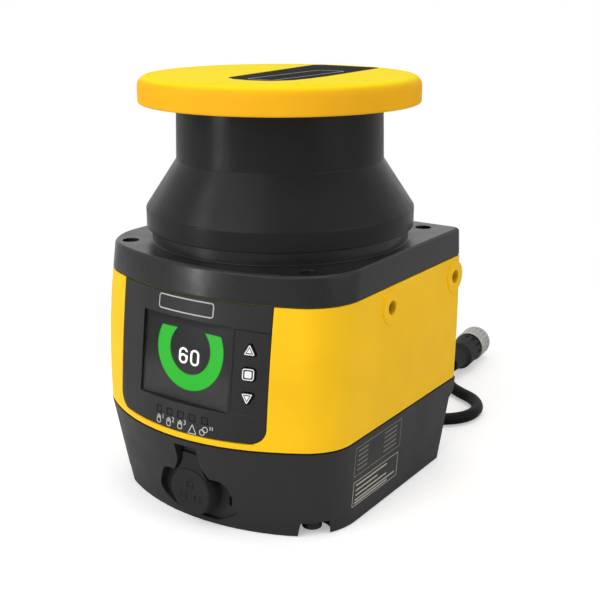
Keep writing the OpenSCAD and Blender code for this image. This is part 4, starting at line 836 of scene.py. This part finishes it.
def halve_long_edges(sheet, step):
    """Cut every edge in half that is longer than a step, until there are none."""
    while True:
        edges = sheet.data.edges
        ends = [[sheet.data.vertices[v].co for v in e.vertices] for e in edges]
        long_ones = [i for i, (a, b) in enumerate(ends) if (a - b).length > step]
        if not long_ones:
            return
        bpy.ops.object.mode_set(mode="EDIT")
        bpy.ops.mesh.select_all(action="DESELECT")
        bpy.ops.mesh.select_mode(type="EDGE")
        bpy.ops.object.mode_set(mode="OBJECT")
        for i in long_ones:
            edges[i].select = True
        bpy.ops.object.mode_set(mode="EDIT")
        bpy.ops.mesh.subdivide(number_cuts=1)
        bpy.ops.object.mode_set(mode="OBJECT")


def print_on(name, shapes, shell, way, ink, body, step=1.2):
    """Join flat shapes and lay them on a shell as a thin skin of ink."""
    turn, before, axis, upwards = way
    bpy.ops.object.select_all(action="DESELECT")
    for shape in shapes:
        shape.select_set(True)
    bpy.context.view_layer.objects.active = shapes[0]
    if len(shapes) > 1:
        bpy.ops.object.join()
    sheet = bpy.context.object
    sheet.name = name
    halve_long_edges(sheet, step)
    sheet.rotation_euler = turn
    sheet.location = Vector(before) * MM
    sheet.scale = (MM, MM, MM)
    select_only(sheet)
    bpy.ops.object.transform_apply(location=True, rotation=True, scale=True)
    apply_modifier(sheet, "SHRINKWRAP", target=shell, wrap_method="PROJECT", offset=INK_MM * MM,
                   use_project_x=axis == "x", use_project_y=axis == "y", use_project_z=axis == "z",
                   use_positive_direction=upwards, use_negative_direction=not upwards)
    apply_modifier(sheet, "SOLIDIFY", thickness=SKIN_MM * MM, offset=-1)
    sheet.data.materials.clear()
    sheet.data.materials.append(ink)
    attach(sheet, body)
    return sheet


print("ink stands", INK_MM, "mm off its face and is", round(SKIN_MM, 3), "mm thick")

# %% [markdown]
# ## The keys' signs
#
# Each key has a white line round its rim and a white core: a triangle for up, a square
# for select and a triangle for down. They move with their keys, so each sheet rides on
# the body of its key. The keys' places could be typed in, but the middle of each face is
# measured from the points near its front, so a sign always sits on its key.

# %% Key signs
rim_line, face_depth = 0.34, 4
shell_of = {piece.name: piece for piece in small_shells}
key_signs = []
for node, corners, down, rim, core in (
        ("button_up", 3, False, (-1.85, -1.62, 1.85, 1.95), (-0.85, -0.95, 0.85, 0.7)),
        ("button_select", 4, False, (-1.93, -1.93, 1.93, 1.93), (-1.15, -1.15, 1.15, 1.15)),
        ("button_down", 3, True, (-1.85, -1.95, 1.85, 1.62), (-0.85, -0.7, 0.85, 0.95))):
    shell = shell_of[node + "_shell"]
    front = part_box(node)[0][1]
    face = [v.co / MM for v in shell.data.vertices if v.co.y < front + face_depth * MM]
    middle = [(min(p[i] for p in face) + max(p[i] for p in face)) / 2 for i in (0, 2)] * 2
    print(node, "face centre", [round(m, 2) for m in middle[:2]])
    rim_box, core_box = ([m + d for m, d in zip(middle, box)] for box in (rim, core))
    rim_round, core_round = (0.8, 0.4) if corners == 4 else (0.55, 0.1)
    shapes = [drawn_shape(corners, rim_box, rim_round, line=rim_line, upside_down=down),
              drawn_shape(corners, core_box, core_round, upside_down=down)]
    key_signs.append(print_on(node + "_sign", shapes, shell, TO_FRONT, key_ink,
                              body_of_node[node]))
print("key signs:", len(key_signs))

# %% [markdown]
# ## Signs on the bezel
#
# Under each light stands a small sign: a hand with a number for each of three outputs, a
# triangle, and two linked rings with two strokes for a network. They are simple shapes,
# about three millimetres tall, so straight bars and polygons are enough to draw them.

# %% Signs under the lights
line = 0.27
finger_tops = ((-0.75, 0.9), (-0.25, 1.5), (0.25, 1.5), (0.75, 1.1))
signs = []
for number, x, z in ((1, -8.4, 38.7), (2, -3.7, 38.6), (3, 1.4, 38.8)):
    palm = drawn_shape(4, (x - 1.0, z - 1.6, x + 1.0, z + 0.4), 0.75, line=line)
    fingers = [drawn_bar((x + side, z + 0.2), (x + side, z + tall), line)
               for side, tall in finger_tops]
    signs += [palm, *fingers, drawn_number(number, (x + 2.0, z + 1.1), 1.7)]
signs += [
    drawn_shape(3, (4.8, 36.6, 8.4, 40.1), 0.3, line=line),
    drawn_shape(16, (9.4, 36.8, 11.6, 39.0), line=line),
    drawn_shape(16, (10.5, 37.9, 12.7, 40.1), line=line),
    drawn_bar((13.5, 39.2), (13.5, 40.4), line), drawn_bar((14.3, 39.2), (14.3, 40.4), line)]
bezel_signs = print_on("bezel_signs", signs, bezel_shell, TO_FRONT, pale_ink, "housing")
print("bezel sign faces:", len(bezel_signs.data.polygons))

# %% [markdown]
# Above the screen, a rounded outline marks the place of a name plate. The place is left
# empty, since no name belongs on the part.

# %% Name plate outline
plate_box, plate_round = (-11.6, 76.5, 12.0, 81.6), 1.1
plate = drawn_shape(4, plate_box, plate_round, line=0.42)
plate_outline = print_on("plate_outline", [plate], bezel_shell, TO_FRONT, plate_ink, "housing")
print("plate outline faces:", len(plate_outline.data.polygons))

# %% [markdown]
# ## Label on the cap
#
# A black label lies on the cap. On it a pale rounded border marks the place of a name,
# and that place is left empty too. The border would stand above the highest solid, so the
# top of the label's copy is first lowered by twice the gap that ink keeps from its face.

# %% Label border
near_top = 0.01 * MM
border_box, border_round = (2.5, -23.0, 13.5, 22.0), 1.5
label_shell = finished_copy("cap_label", label_black, edge_mm=0)
label_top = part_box("cap_label")[1][2]
for vertex in label_shell.data.vertices:
    if vertex.co.z > label_top - near_top:
        vertex.co.z -= 2 * INK_MM * MM
border = drawn_shape(4, border_box, border_round, line=0.35)
label_border = print_on("label_border", [border], label_shell, TO_TOP, pale_ink, "housing",
                        step=3)
print("label border faces:", len(label_border.data.polygons))

# %% [markdown]
# ## Side frames
#
# The base's right side carries two data fields. They are left as bare frames with plain
# rules, since no lettering belongs on the part. The rules of the lower one are thicker
# and fewer, and those of the upper one stand in two columns.

# %% Side frames
thin, field_round = 0.28, 0.5
lower_rule, upper_rule = 0.62, 0.5
lower_rules = ((-25.4, -4.2, 14.9), (-25.4, -10.7, 12.9), (-25.3, -4.1, 11.0),
               (-25.6, 1.9, 9.2), (-25.9, -3.1, 8.0))
lower_shapes = [drawn_shape(4, (-27.2, 6.8, 3.9, 16.6), field_round, line=thin)]
lower_shapes += [drawn_bar((start, z), (end, z), lower_rule) for start, end, z in lower_rules]
lower_field = print_on("lower_field", lower_shapes, lower_shell, TO_RIGHT, rule_ink, "housing",
                       step=2.5)
upper_rules = [drawn_bar((start, z), (end, z), upper_rule)
               for start, end in ((-25.6, -19.0), (-7.8, 1.2))
               for z in (28.2, 26.4, 24.6, 22.8, 21.0)]
upper_frame = drawn_shape(4, (-27.6, 18.8, 4.5, 30.0), field_round, line=thin)
upper_field = print_on("upper_field", [upper_frame] + upper_rules, lower_shell, TO_RIGHT,
                       faint_ink, "housing", step=2.5)
print("fields:", lower_field.name, upper_field.name)

# %% [markdown]
# ## Last facts
#

# %% [markdown]
# At the end the view layer is brought up to date. Nothing that was added may have made it
# larger.


bpy.context.view_layer.update()
